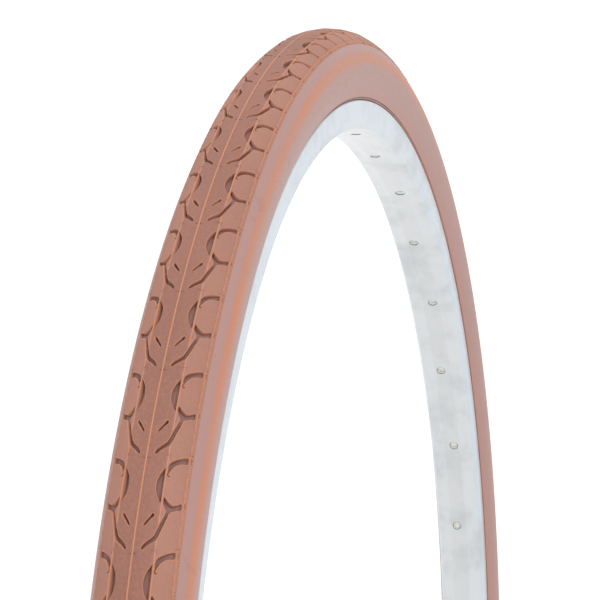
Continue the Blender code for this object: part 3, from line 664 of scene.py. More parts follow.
def tread_patch(settings):
    """One repeat of the pattern on one side: flat points with heights, all in millimetres, and triangles.

    Returns (points, triangles), a point being (run, arc, height, groove share, edge share).
    """
    pitch = math.tau * TYRE_RADIUS / MM / settings.pitches
    deepest = settings.groove_depth / MM
    loops = [crescent_loop(), *map(smooth_loop, (LEFT_LEG_MM, BRANCH_MM, DASH_MM))]
    grooves = [(loop, None) for loop in loops]
    grooves += [(notch_loop(centre), 0.35) for centre in NOTCH_CENTRES_MM]
    points, edges = [], []

    def add_loop(loop, sink, edge):
        first = len(points)
        for spot in loop:
            depth = sink(spot.y)
            points.append((spot.x, spot.y, land_height(spot.y) - depth, min(depth / 0.9, 1.0), edge))
        edges.extend((first + i, first + (i + 1) % len(loop)) for i in range(len(loop)))

    # Each groove's rims get an edge share, for a painted highlight, and its deeper rings a groove share, for
    # painted shade.
    for loop, shallow in grooves:
        scale = 0.6 if shallow else 1.0
        full = (lambda arc: shallow) if shallow else (lambda arc: groove_depth_at(arc, deepest))
        add_loop(grown(loop, 0.34 * scale), lambda arc: 0.0, 0.0)
        add_loop(grown(loop, 0.14 * scale), lambda arc: 0.0, 0.9)
        add_loop(grown(loop, -0.02 * scale), lambda arc: 0.2 * scale, 0.8)
        add_loop(grown(loop, -0.24 * scale), full, 0.0)

    def seam(arc):
        return SEAM_START_MM - SEAM_SLANT * arc - pitch

    rows = [arc for arc, _ in LAND_HEIGHTS_MM]
    outer = [grown(loop, 0.34) for loop, _ in grooves]
    border = {}
    for row, arc in enumerate(rows):
        for column in range(LAND_COLUMNS + 1):
            spot = Vector((seam(arc) + pitch * column / LAND_COLUMNS, arc))
            on_border = row in (0, len(rows) - 1) or column in (0, LAND_COLUMNS)
            if not on_border:
                if any(inside(loop, spot) or near(loop, spot, 0.3) for loop in outer):
                    continue
            height = land_height(arc)
            border[(row, column)] = len(points)
            points.append((spot.x, spot.y, height, 0.0, 0.0))
    last_row, last_column = len(rows) - 1, LAND_COLUMNS
    for row in range(last_row):
        for column in (0, last_column):
            edges.append((border[(row, column)], border[(row + 1, column)]))
    for column in range(last_column):
        for row in (0, last_row):
            edges.append((border[(row, column)], border[(row, column + 1)]))
    flat = [Vector((run, arc)) for run, arc, *_ in points]
    made = delaunay_2d_cdt(flat, edges, [], 0, 1e-6, True)
    chosen = []
    for place, origins in zip(made[0], made[3]):
        if origins:
            chosen.append(points[origins[0]])
        else:
            chosen.append((place.x, place.y, land_height(place.y), 0.0, 0.0))
    return chosen, [tuple(face) for face in made[2]]


def tread_repeat_mesh(settings):
    """One repeat of the tread as a block open at its two ends, bent onto the tyre's section."""
    points, triangles = tread_patch(settings)
    pitch = math.tau * TYRE_RADIUS / MM / settings.pitches

    def bend(run, arc, height):
        section = arc * MM / TYRE_HALF
        reach = TYRE_HALF + height * MM
        angle = settings.first_pitch - run * MM / TYRE_RADIUS
        return wheel_point(-reach * math.sin(section), SECTION_CENTRE + reach * math.cos(section), angle)

    verts, faces, groove, edge, arcs = [], [], [], [], []
    for side in (1, -1):
        first = len(verts)
        for run, arc, height, groove_share, edge_share in points:
            verts.append(bend(run, side * arc, height))
            groove.append(groove_share)
            edge.append(edge_share)
            arcs.append(side * arc)
        for face in triangles:
            turned = face if side > 0 else face[::-1]
            faces.append(tuple(first + index for index in turned))

    # The underside lies on the belt. Its rows run from one edge of the tread to the other.
    edge_angle = TREAD_EDGE_MM * MM / TYRE_HALF
    under_across = TYRE_HALF - TREAD_EDGE_THICKNESS
    under_radial = TYRE_HALF - TREAD_THICKNESS
    rows = []
    for section in (edge_angle, *spread(edge_angle, -edge_angle, 9), -edge_angle):
        arc = abs(section) * TYRE_HALF / MM
        across, radius = round_point(section, under_across, under_radial)
        start = SEAM_START_MM - SEAM_SLANT * arc - pitch
        runs = [start + pitch * column / LAND_COLUMNS for column in range(LAND_COLUMNS + 1)]
        on_face = len(rows) in (0, 10)
        row = []
        for run in runs:
            angle = settings.first_pitch - run * MM / TYRE_RADIUS
            row.append(len(verts))
            if on_face:
                verts.append(bend(run, section * TYRE_HALF / MM, LAND_HEIGHTS_MM[-1][1]))
            else:
                verts.append(wheel_point(-across, radius, angle))
            groove.append(0.0)
            edge.append(0.0)
            arcs.append(section * TYRE_HALF / MM)
        rows.append(row)
    for upper, lower in zip(rows, rows[1:]):
        for i in range(LAND_COLUMNS):
            faces.append((upper[i], upper[i + 1], lower[i + 1], lower[i]))
    mesh = bpy.data.meshes.new("tread_repeat")
    mesh.from_pydata(verts, [], faces)
    # The groove and edge shares carry painted shade and painted highlight to the tread's material.
    for name, values in (("groove", groove), ("edge", edge), ("arc", arcs)):
        layer = mesh.attributes.new(name, "FLOAT", "POINT")
        layer.data.foreach_set("value", values)
    return mesh


def repeat_tree(name):
    """Geometry nodes that repeat the mesh round the axle line, as one welded mesh."""
    tree = bpy.data.node_groups.new(name, "GeometryNodeTree")
    face = tree.interface
    face.new_socket("Geometry", in_out="INPUT", socket_type="NodeSocketGeometry")
    face.new_socket("Count", in_out="INPUT", socket_type="NodeSocketInt")
    face.new_socket("Weld Distance", in_out="INPUT", socket_type="NodeSocketFloat")
    face.new_socket("Material", in_out="INPUT", socket_type="NodeSocketMaterial")
    face.new_socket("Geometry", in_out="OUTPUT", socket_type="NodeSocketGeometry")
    group = add_node(tree, "NodeGroupInput")
    count = group.outputs["Count"]
    index = add_node(tree, "GeometryNodeInputIndex").outputs[0]
    step = math_node(tree, "DIVIDE", math.tau, count)
    angle = math_node(tree, "MULTIPLY", index, step)
    euler = add_node(tree, "ShaderNodeCombineXYZ", {"Y": angle}).outputs[0]
    turn = add_node(tree, "FunctionNodeEulerToRotation", {"Euler": euler}).outputs[0]
    spots = add_node(tree, "GeometryNodePoints", {"Count": count}).outputs[0]
    placed = add_node(
        tree,
        "GeometryNodeInstanceOnPoints",
        {"Points": spots, "Instance": group.outputs["Geometry"], "Rotation": turn},
    )
    solid = add_node(tree, "GeometryNodeRealizeInstances", {"Geometry": placed.outputs[0]})
    welded = add_node(
        tree,
        "GeometryNodeMergeByDistance",
        {"Geometry": solid.outputs[0], "Distance": group.outputs["Weld Distance"]},
    )
    painted = add_node(
        tree,
        "GeometryNodeSetMaterial",
        {"Geometry": welded.outputs[0], "Material": group.outputs["Material"]},
    )
    add_node(tree, "NodeGroupOutput", {"Geometry": painted.outputs[0]})
    return tree


def repeated_mesh(name, mesh, count, weld, material):
    """The mesh repeated round the axle line by Geometry Nodes, as a plain mesh."""
    carrier = new_piece(name, mesh)
    nodes = carrier.modifiers.new("Repeat", "NODES")
    nodes.node_group = repeat_tree(f"{name}_round_the_wheel")
    for item in nodes.node_group.interface.items_tree:
        if item.in_out == "INPUT" and item.name in ("Count", "Weld Distance", "Material"):
            nodes[item.identifier] = {"Count": count, "Weld Distance": weld, "Material": material}[item.name]
    graph = bpy.context.evaluated_depsgraph_get()
    made = bpy.data.meshes.new_from_object(carrier.evaluated_get(graph))
    carrier.modifiers.remove(nodes)
    bpy.data.objects.remove(carrier)
    made.name = name
    return made


class TyreSettings(bpy.types.PropertyGroup):
    """Tyre sizes and colours."""

    pitches: IntProperty(
        name="Pattern Repeats", description="Times that the tread pattern repeats round the tyre",
        default=65, min=20, max=120,
    )
    first_pitch: FloatProperty(
        name="Pattern Start", description="Angle of one crescent from the top of the wheel",
        default=math.radians(-20.49), subtype="ANGLE", unit="ROTATION",
    )
    groove_depth: length_property("Groove Depth", "Depth of the tread grooves near the crown", 1.8 * MM)
    tread_colour: colour_property("Tread", "Face of the tread", "A37465")
    # Painted shade: the crown between the side ribs is darker.
    crown_shade_colour: colour_property("Tread Crown", "Face of the tread between the side ribs", "916457")
    # Painted shade: the floors and walls of the grooves are darker.
    groove_shade_colour: colour_property("Grooves", "Floor and walls of the tread grooves", "8F6A63")
    # Painted highlight on the thin ribs, groove rims and shoulder ticks; also the tread's pale speckle.
    highlight_and_speckle_colour: colour_property("Mould Ribs", "Thin ribs along the tread", "C68563")
    sidewall_colour: colour_property("Sidewall", "Main colour of the sidewall", "AA847D")
    band_colour: colour_property("Warm Ring", "Warmer ring on the sidewall", "BD7D62")
    scuff_colour: colour_property("Scuffs", "Faint marks on the sidewall", "94695F")
    chafer_colour: colour_property("Chafer", "Rubbered cloth next to the rim", "A06A59")


class TYRE_OT_tread(bpy.types.Operator):
    """Build the moulded tread round the wheel"""

    bl_idname = "tyre.tread"
    bl_label = "Tread"

    def execute(self, context):
        settings = context.scene.tyre
        rubber = tread_material(settings)
        made = repeated_mesh("tread_cap", tread_repeat_mesh(settings), settings.pitches, 0.01 * MM, rubber)
        tidy_mesh(made, 32.0)
        settle(new_piece("tread_cap", made), "wheel", "tread_rubber", "tread")
        return {"FINISHED"}


class TYRE_OT_sidewalls(bpy.types.Operator):
    """Build the two sidewalls and the chafer strips that show above the rim"""

    bl_idname = "tyre.sidewalls"
    bl_label = "Sidewalls"

    def execute(self, context):
        settings = context.scene.tyre
        rubber = sidewall_material(settings)
        cloth = woven_material("rubbered_chafer_cloth", tuple(settings.chafer_colour), 0.45 * MM, 0.6, 0.8)
        start = (TREAD_EDGE_MM + 0.05) * MM / TYRE_HALF
        step = SHOULDER_STEP_MM * MM
        ends = FLANGE_TOP + CHAFER_SHOWS + FIT_GAP * 0.5
        upper, under = [], []
        for angle in spread(start, math.pi / 2, 9):
            share = (angle - start) / (math.pi / 2 - start)
            reach = TYRE_HALF - step * max(0.0, 1 - share * 2.5)
            upper.append(round_point(angle, reach, reach))
            under.append(
                round_point(angle, TYRE_HALF - SIDEWALL_THICKNESS, TYRE_HALF - CASING_CROWN_DEPTH + FIT_GAP)
            )
        lower = spread(SECTION_CENTRE, ends, 10)[1:]
        outline = upper + [lower_point(radius, 0.02 * MM) for radius in lower]
        outline += [lower_point(radius, SIDEWALL_THICKNESS) for radius in reversed(lower)] + under[::-1]
        chafer = rounded(chafer_path(), 0.8 * MM, 4, closed=False)
        for side, shape, path in (("right", outline, chafer), ("left", mirrored(outline), mirrored(chafer))):
            wall = turned_mesh(f"sidewall_skin_{side}", shape, WHEEL_SEGMENTS, wheel_point)
            piece = new_piece(f"sidewall_skin_{side}", wall, rubber)
            settle(piece, "wheel", "sidewall_rubber", f"sidewall_{side}")
            band = walled(path, CHAFER_THICKNESS)
            strip = turned_mesh(f"chafer_strip_{side}", band, WHEEL_SEGMENTS, wheel_point)
            piece = new_piece(f"chafer_strip_{side}", strip, cloth)
            settle(piece, "wheel", "chafer_fabric", f"chafer_{side}")
        return {"FINISHED"}


def chafer_path():
    """The middle line of the strip that guards the +Y bead, from above the flange to the bead's toe."""
    half_wall = CHAFER_THICKNESS / 2
    over = FLANGE_TOP + FIT_GAP + half_wall
    side = RIM_INNER_HALF - FIT_GAP - half_wall
    seat = BEAD_SEAT + FIT_GAP + half_wall
    return [
        lower_point(FLANGE_TOP + CHAFER_SHOWS, half_wall),
        lower_point(over, half_wall),
        (side + FIT_GAP, over),
        (side, over - half_wall * 2),
        (side, seat),
        (WELL_TOP_HALF, seat),
    ]


class TYRE_OT_carcass(bpy.types.Operator):
    """Build what lies under the rubber: casing, belt, bead wires and inner tube"""

    bl_idname = "tyre.carcass"
    bl_label = "Carcass and Tube"

    def execute(self, context):
        cord = woven_material("rubbered_nylon_cord", linear("6B4A3E"), 0.7 * MM, 0.8, 0.3)
        breaker = woven_material("woven_breaker_cloth", linear("C9B274"), 1.0 * MM, 0.85)
        wire = metal_material("bronzed_bead_wire", "9C8458", 0.35)
        butyl = moulded_material("moulded_butyl", "262626", 0.6)

        casing = walled(rounded(both_sides(casing_half_path()), 0.5 * MM, 2, closed=False), CASING_THICKNESS)
        piece = new_piece("carcass_ply", turned_mesh("carcass_ply", casing, 180, wheel_point), cord)
        settle(piece, "wheel", "rubbered_cord", "casing")

        angle = BELT_HALF_ARC / TYRE_HALF
        across = TYRE_HALF - (TREAD_EDGE_THICKNESS + CASING_SIDE_DEPTH) / 2
        radial = TYRE_HALF - TREAD_THICKNESS - FIT_GAP - BELT_THICKNESS / 2
        path = [round_point(a, across, radial) for a in spread(-angle, angle, 9)]
        belt = turned_mesh("belt_cloth", walled(path, BELT_THICKNESS), 180, wheel_point)
        settle(new_piece("belt_cloth", belt, breaker), "wheel", "woven_breaker", "puncture_belt")

        for side, sign in (("left", -1), ("right", 1)):
            loop = []
            for turn in spread(0, math.tau, 15)[:-1]:
                # The seven strands of the wire show as lobes.
                reach = BEAD_WIRE_RADIUS * (0.93 + 0.07 * math.cos(7 * turn))
                across = sign * WIRE_ACROSS + reach * math.cos(turn)
                loop.append((across, WIRE_RING_RADIUS + reach * math.sin(turn)))
            ring = turned_mesh(f"bead_core_{side}", loop, 240, wheel_point)
            settle(new_piece(f"bead_core_{side}", ring, wire), "wheel", "bead_wire", f"bead_wire_{side}")

        half = tube_half_path()
        middle = half + [(-across, radius) for across, radius in reversed(half[1:])]
        outer, inner = offset_pair(middle, TUBE_WALL)
        skin = turned_mesh("tube_skin", outer, 240, wheel_point)
        lining = turned_mesh("tube_lining", inner, 240, wheel_point)
        lining.flip_normals()
        tube = joined("air_tube", skin, lining)
        piece = new_piece("air_tube", tube, butyl)
        drill(piece, valve_drill("neck_drill", 3.0 * MM, -FLANGE_TOP, -HUB_FACE))
        settle(piece, "wheel", "black_butyl", "inner_tube")
        return {"FINISHED"}


def casing_half_path():
    """The middle line of the casing's ply on the +Y side, from the crown round the bead wire."""
    half_wall = CASING_THICKNESS / 2
    across_half = TYRE_HALF - CASING_SIDE_DEPTH - half_wall
    radial_half = TYRE_HALF - CASING_CROWN_DEPTH - half_wall
    path = [round_point(angle, across_half, radial_half) for angle in spread(0, math.pi / 2, 13)]
    for radius in spread(SECTION_CENTRE, FLANGE_TOP + 4.0 * MM, 6)[1:]:
        path.append(lower_point(radius, CASING_SIDE_DEPTH + half_wall))
    for angle in spread(math.radians(135), math.radians(360), 12):
        across = WIRE_ACROSS + HOOK_RADIUS * math.cos(angle)
        path.append((across, WIRE_RING_RADIUS + HOOK_RADIUS * math.sin(angle)))
    path.append((WIRE_ACROSS + HOOK_RADIUS, FLANGE_TOP - 0.5 * MM))
    return path


def tube_half_path():
    """The middle line of the tube's wall on the +Y side, from the crown to the rim's well."""
    off_casing = CASING_THICKNESS / 2 + FIT_GAP + TUBE_WALL / 2
    side_depth = CASING_SIDE_DEPTH + CASING_THICKNESS / 2 + off_casing
    crown_depth = CASING_CROWN_DEPTH + CASING_THICKNESS / 2 + off_casing
    path = [
        round_point(angle, TYRE_HALF - side_depth, TYRE_HALF - crown_depth)
        for angle in spread(0, math.pi / 2, 13)
    ]
    for radius in spread(SECTION_CENTRE, FLANGE_TOP + 6.0 * MM, 5)[1:]:
        path.append(lower_point(radius, side_depth))
    hook = HOOK_RADIUS + off_casing
    for angle in (math.radians(135), math.radians(157), math.pi):
        path.append((WIRE_ACROSS + hook * math.cos(angle), WIRE_RING_RADIUS + hook * math.sin(angle)))
    floor_half = WELL_FLOOR_HALF - FIT_GAP - TUBE_WALL
    path.append((floor_half, TUBE_FLOOR + 0.5 * MM))
    path.append((floor_half - 0.5 * MM, TUBE_FLOOR))
    return path


def offset_pair(loop, wall):
    """The outer and inner outlines of a closed wall round its middle line."""
    outer, inner = [], []
    count = len(loop)
    for i in range(count):
        way = (Vector(loop[(i + 1) % count]) - Vector(loop[i - 1])).normalized()
        normal = Vector((-way.y, way.x)) * wall / 2
        outer.append(tuple(Vector(loop[i]) + normal))
        inner.append(tuple(Vector(loop[i]) - normal))
    return outer, inner


def joined(name, *meshes):
    form = bmesh.new()
    for mesh in meshes:
        form.from_mesh(mesh)
    made = bpy.data.meshes.new(name)
    form.to_mesh(made)
    form.free()
    return made


def valve_drill(name, radius, low, high, segments=48):
    """A round cutter on the valve's axis."""
    form = bmesh.new()
    bmesh.ops.create_cone(
        form, cap_ends=True, segments=segments, radius1=radius, radius2=radius, depth=high - low,
        matrix=Matrix.Translation((0, 0, (low + high) / 2)),
    )
    mesh = bpy.data.meshes.new(name)
    form.to_mesh(mesh)
    form.free()
    return mesh


def drill(piece, cutter_mesh):
    """Cuts a mesh out of a piece for good."""
    cutter = new_piece("cutter", cutter_mesh)
    boolean = piece.modifiers.new("Cut", "BOOLEAN")
    boolean.object = cutter
    boolean.operation = "DIFFERENCE"
    graph = bpy.context.evaluated_depsgraph_get()
    made = bpy.data.meshes.new_from_object(piece.evaluated_get(graph))
    piece.modifiers.remove(boolean)
    old, piece.data = piece.data, made
    made.name = old.name
    bpy.data.meshes.remove(old)
    bpy.data.objects.remove(cutter)


# ---------------------------------------------------------------- rim


class RimSettings(bpy.types.PropertyGroup):
    """Rim sizes and colours."""

    spoke_holes: IntProperty(name="Spoke Holes", description="Spoke holes round the rim, an even number",
                             default=36, min=12, max=48)
    hole_diameter: length_property("Hole Diameter", "Diameter of a spoke hole", 4.3 * MM)
    hole_offset: length_property(
        "Hole Offset", "Distance of each hole from the rim's middle, by turns", 1.03 * MM
    )
    dimple_diameter: length_property("Dimple Diameter", "Width of the shallow dimple round a hole", 8.6 * MM)
    valve_hole: length_property("Valve Hole", "Diameter of the valve hole", 8.5 * MM)
    face_colour: colour_property("Hub Face", "Colour of the rim's hub face", "CCCFD1")
    # Painted shade: the drilled middle band is darker.
    band_colour: colour_property("Middle Band", "Colour of the drilled band", "C4C6C7")
    # Painted shade: the brake tracks are cooler and darker.
    side_shade_colour: colour_property("Brake Track", "Colour of the rim's sides", "C4CED7")
    grime_colour: colour_property("Grime", "Colour of faint smudges", "AEB2B4")
    # Painted shade round the spoke holes' edges.
    hole_edge_shade_colour: colour_property("Hole Edges", "Colour of the worn edges of the spoke holes", "54595D")
    # Painted light on the spoke holes' walls.
    hole_wall_light_colour: colour_property("Hole Walls", "Colour inside the spoke holes", "F6F6F4")


def rim_outline():
    half = [
        (HUB_BAND_HALF, HUB_FACE),
        (HUB_BAND_HALF + 0.5 * MM, HUB_FACE + 0.12 * MM),
        (CORNER_HALF, HUB_FACE + CORNER_RISE),
        (RIM_HALF, HUB_FACE + SHOULDER_RISE),
        (RIM_HALF, FLANGE_TOP - 0.5 * MM),
        (RIM_HALF - 0.5 * MM, FLANGE_TOP),
        (RIM_INNER_HALF + 0.4 * MM, FLANGE_TOP),
        (RIM_INNER_HALF, FLANGE_TOP - 0.6 * MM),
        (RIM_INNER_HALF, BEAD_SEAT),
        (WELL_TOP_HALF, BEAD_SEAT - SEAT_DROP),
        (WELL_FLOOR_HALF, WELL_FLOOR),
    ]
    return half + [(-across, radius) for across, radius in reversed(half)]


def chamber_outline():
    top = BEAD_SEAT - SEAT_DROP - CHAMBER_WALL
    return [
        (WELL_FLOOR_HALF + CHAMBER_WALL, WELL_FLOOR),
        (CORNER_HALF - CORNER_RISE, WELL_FLOOR),
        (RIM_INNER_HALF, HUB_FACE + SHOULDER_RISE),
        (RIM_INNER_HALF, top),
        (WELL_TOP_HALF + CHAMBER_WALL, top),
    ]


def hole_cutters(settings):
    """Two neighbouring spoke-hole cutters, which Geometry Nodes repeat round the rim.

    Each has a wide, very flat cone that presses the dimple, and a straight peg with a small chamfer.
    """
    radius = settings.hole_diameter / 2
    dimple = settings.dimple_diameter / 2
    profile = [
        (0.0, HUB_FACE - 2 * MM),
        (dimple * 1.5, HUB_FACE - 2 * MM),
        (dimple * 1.5, HUB_FACE - 0.18 * MM),
        (dimple, HUB_FACE - 0.02 * MM),
        (radius + 0.9 * MM, HUB_FACE + 0.14 * MM),
        (radius + 0.42 * MM, HUB_FACE + 0.18 * MM),
        (radius + 0.22 * MM, HUB_FACE + 0.2 * MM),
        (radius, HUB_FACE + 0.42 * MM),
        (radius, HUB_FACE + 0.7 * MM),
        (radius, WELL_FLOOR + 1 * MM),
        (0.0, WELL_FLOOR + 1 * MM),
    ]
    form = bmesh.new()
    step = math.tau / settings.spoke_holes
    for index, side in ((0, -1), (1, 1)):
        peg = turned_mesh("peg", profile, 40, valve_point)
        peg.transform(
            Matrix.Rotation(step * (index + 0.5), 4, "Y")
            @ Matrix.Translation((0, side * settings.hole_offset, 0))
        )
        form.from_mesh(peg)
        bpy.data.meshes.remove(peg)
    mesh = bpy.data.meshes.new("spoke_hole_pair")
    form.to_mesh(mesh)
    form.free()
    return mesh


def arc_pin_mesh(half_length, across, thickness, top):
    """A round pin bent to the rim's curve, with rounded ends."""
    radius = top - thickness
    sweep = (half_length - thickness) / radius
    verts, faces = [], []
    sides, stations = 24, []
    for angle in spread(math.pi / 2, 0, 5)[:-1]:
        turn = -sweep - thickness * math.sin(angle) / radius
        stations.append((turn, thickness * max(math.cos(angle), 0.05)))
    stations += [(angle, thickness) for angle in spread(-sweep, sweep, 13)]
    stations += [(-angle, reach) for angle, reach in reversed(stations[:4])]
    for angle, reach in stations:
        for side in range(sides):
            turn = math.tau * side / sides
            verts.append(wheel_point(across + reach * math.cos(turn), radius + reach * math.sin(turn), angle))
    last = len(stations) - 1
    for station in range(last):
        for side in range(sides):
            after = (side + 1) % sides
            a, b = station * sides, (station + 1) * sides
            faces.append((a + side, a + after, b + after, b + side))
    faces.append(tuple(range(sides)))
    faces.append(tuple(reversed(range(last * sides, (last + 1) * sides))))
    return finish_mesh("seam_pin", verts, faces)


def mark_holes(mesh, settings):
    """Marks each spoke hole's edge with 1, for painted shade, and its wall with -1, for painted light."""
    step = math.tau / settings.spoke_holes
    reach = settings.hole_diameter / 2
    marks = []
    for vertex in mesh.vertices:
        across, radius = vertex.co.y, math.hypot(vertex.co.x, vertex.co.z)
        turns = math.atan2(vertex.co.x, vertex.co.z) / step % settings.spoke_holes
        index = int(turns)
        side = settings.hole_offset if index % 2 else -settings.hole_offset
        distance = math.hypot((turns - index - 0.5) * step * radius, across - side)
        if distance > reach + 0.3 * MM or not HUB_FACE + 0.05 * MM < radius < WELL_FLOOR + 2 * MM:
            marks.append(0.0)
        else:
            marks.append(1.0 if radius < HUB_FACE + 0.6 * MM else -1.0)
    layer = mesh.attributes.new("hole", "FLOAT", "POINT")
    layer.data.foreach_set("value", marks)


class TYRE_OT_rim(bpy.types.Operator):
    """Build the drilled rim and the strip in its well"""

    bl_idname = "tyre.rim"
    bl_label = "Rim"

    def execute(self, context):
        settings = context.scene.rim
        lacquer = rim_material(settings)
        hoop = turned_mesh("rim_hoop", rounded(rim_outline(), 0.5 * MM, 3), WHEEL_SEGMENTS, wheel_point, 40.0)
        chambers = []
        for outline in (chamber_outline(), mirrored(chamber_outline())):
            chamber = turned_mesh("chamber", rounded(outline, 0.4 * MM, 2), WHEEL_SEGMENTS, wheel_point, 40.0)
            chamber.flip_normals()
            chambers.append(chamber)
        piece = new_piece("rim_hoop", joined("rim_hoop", hoop, *chambers), lacquer)
        cutters = hole_cutters(settings)
        pegs = repeated_mesh("spoke_hole_cutters", cutters, settings.spoke_holes // 2, 0.0, lacquer)
        drill(piece, pegs)
        reach = settings.valve_hole / 2
        drill(piece, valve_drill("valve_hole_drill", reach, -FLANGE_TOP, -HUB_FACE + 5 * MM))
        seam = bmesh.new()
        size = Matrix.Diagonal((0.12 * MM, RIM_HALF * 3, RIM_DEPTH * 2, 1))
        middle = Matrix.Translation((0, 0, HUB_FACE + RIM_DEPTH / 2))
        bmesh.ops.create_cube(seam, size=1, matrix=middle @ size)
        gap = bpy.data.meshes.new("seam_saw")
        seam.to_mesh(gap)
        seam.free()
        drill(piece, gap)
        tidy_mesh(piece.data, 24.0, 1e-7)
        mark_holes(piece.data, settings)
        settle(piece, "wheel", "painted_aluminium", "rim")

        steel = metal_material("bright_drawn_steel", "B4B4B6", 0.3)
        for side in ("left", "right"):
            low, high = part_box(f"rim_joint_pin_{side}")
            pin = arc_pin_mesh((high.x - low.x) / 2, (low.y + high.y) / 2, (high.y - low.y) / 2, high.z)
            piece = new_piece(f"seam_pin_{side}", pin, steel)
            settle(piece, "wheel", "bright_steel", f"rim_joint_pin_{side}")

        cloth = woven_material("white_nylon_tape", linear("EDEDE8"), 0.5 * MM, 0.7)
        half = WELL_FLOOR_HALF - FIT_GAP
        outline = [(half, STRIP_LOW), (half, STRIP_TOP), (-half, STRIP_TOP), (-half, STRIP_LOW)]
        strip = turned_mesh("rim_tape", rounded(outline, 0.3 * MM, 3), WHEEL_SEGMENTS, wheel_point)
        tape = new_piece("rim_tape", strip, cloth)
        drill(tape, valve_drill("tape_drill", reach, -FLANGE_TOP, -HUB_FACE))
        settle(tape, "wheel", "white_nylon", "rim_strip")
        return {"FINISHED"}


# ---------------------------------------------------------------- valve


class ValveSettings(bpy.types.PropertyGroup):
    """Valve sizes."""

    thread_pitch: length_property("Thread Pitch", "Rise of the valve's thread in one turn", 25.4 * MM / 32)
    thread_depth: length_property("Thread Depth", "Depth of the stem's thread", 0.42 * MM)
    ribs: IntProperty(name="Cap Ribs", description="Grip ribs round the cap", default=24, min=8, max=60)
    spring_turns: IntProperty(
        name="Spring Turns", description="Turns of the core's spring", default=6, min=3, max=12
    )


def threaded(radius, low, high, pitch, depth):
    """A place function that presses a right-handed thread into the face at this radius, towards the axis.

    That cuts the thread into an outer face, and raises it from the wall of a bore.
    """

    def place(reach, z, angle):
        if abs(reach - radius) < 1e-7 and low < z < high:
            phase = (z / pitch - angle / math.tau) % 1
            fade = min(1.0, (z - low) / pitch, (high - z) / pitch)
            reach -= depth * fade * (1 - abs(2 * phase - 1))
        return valve_point(reach, z, angle)

    return place


def face_rows(radius, high, low, pitch):
    """Points down a threaded face, eight to each turn."""
    return [(radius, z) for z in spread(high, low, max(3, round((high - low) / pitch * 8)))]


class TYRE_OT_valve_stem(bpy.types.Operator):
    """Build the threaded stem, its pad on the tube, its washer and its lock nut"""

    bl_idname = "tyre.valve_stem"
    bl_label = "Valve Stem"

    def execute(self, context):
        settings = context.scene.valve
        pitch = settings.thread_pitch
        nickel = metal_material("nickel_plated_brass", "C9C4BA", 0.24)
        butyl = moulded_material("moulded_black_butyl", "2B2A2A", 0.65)
        steel = metal_material("bright_pressed_steel", "B8B8B8", 0.3)

        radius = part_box("valve_stem")[1].x
        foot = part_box("valve_stem")[0].z
        neck_top = -STRIP_TOP + FIT_GAP
        neck, flange, airway, chamber, bore = 2.7 * MM, 3.5 * MM, 1.2 * MM, 2.0 * MM, 2.6 * MM
        foot_top = foot + 0.7 * MM
        chamber_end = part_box("valve_core_pin")[0].z - 1.8 * MM
        cone_low, cone_high = VALVE_TIP - 9.3 * MM, VALVE_TIP - 6.8 * MM
        outline = [(radius - 0.4 * MM, VALVE_TIP)]
        outline += face_rows(radius, VALVE_TIP - 0.4 * MM, neck_top + 0.3 * MM, pitch)
        outline += [(radius - 0.3 * MM, neck_top), (neck, neck_top), (neck, foot_top), (flange, foot_top)]
        outline += [(flange, foot), (airway, foot), (airway, chamber_end), (chamber, chamber_end)]
        outline += [(chamber, cone_low), (bore, cone_high)]
        outline += [(bore, VALVE_TIP - 0.3 * MM), (bore + 0.25 * MM, VALVE_TIP)]
        place = threaded(radius, neck_top + 0.3 * MM, VALVE_TIP - 0.4 * MM, pitch, settings.thread_depth)
        stem = turned_mesh("threaded_stem", outline, 48, place, 50.0)
        settle(new_piece("threaded_stem", stem, nickel), "wheel", "nickel_brass", "valve_stem")

        low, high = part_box("valve_base")
        pad = pad_mesh(high.x, high.y, neck + FIT_GAP, STRIP_TOP + FIT_GAP, PAD_THICKNESS)
        settle(new_piece("stem_pad", pad, butyl), "wheel", "black_butyl", "valve_base")

        low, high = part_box("valve_washer")
        hole = radius + FIT_GAP
        saddle = HUB_FACE - FIT_GAP

        def on_saddle(reach, z, angle):
            x, y, _ = valve_point(reach, 0, angle)
            rim = -math.sqrt(saddle**2 - x * x)
            return x, y, z if z > low.z + 0.1 * MM else rim + (z - low.z)

        outline = [(hole, low.z), (high.x - 0.1 * MM, low.z), (high.x, low.z + 0.08 * MM)]
        outline += [(high.x, high.z - 0.15 * MM), (high.x - 0.15 * MM, high.z), (hole, high.z)]
        washer = turned_mesh("saddle_washer", outline, 72, on_saddle)
        settle(new_piece("saddle_washer", washer, steel), "lock_washer", "bright_steel", "valve_washer")

        low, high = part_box("valve_lock_nut")
        flat = high.x
        thread = threaded(hole, low.z, high.z, pitch, BORE_THREAD_DEPTH)

        def on_hexagon(reach, z, angle):
            if reach < flat * 0.9:
                return thread(reach, z, angle)
            corner = flat / math.cos((angle + math.pi / 6) % (math.pi / 3) - math.pi / 6)
            return valve_point(min(reach, corner), z, angle)

        rise, corner = 0.45 * MM, flat / math.cos(math.pi / 6) - 0.06 * MM
        outline = face_rows(hole, low.z, high.z, pitch)[1:-1]
        outline += [(hole + 0.3 * MM, high.z), (flat * 0.96, high.z), (corner, high.z - rise)]
        outline += [(corner, low.z + rise), (flat * 0.96, low.z), (hole + 0.3 * MM, low.z)]
        nut = turned_mesh("hexagon_lock_nut", outline, 96, on_hexagon, 20.0)
        settle(new_piece("hexagon_lock_nut", nut, nickel), "lock_nut", "nickel_brass", "valve_lock_nut")
        return {"FINISHED"}


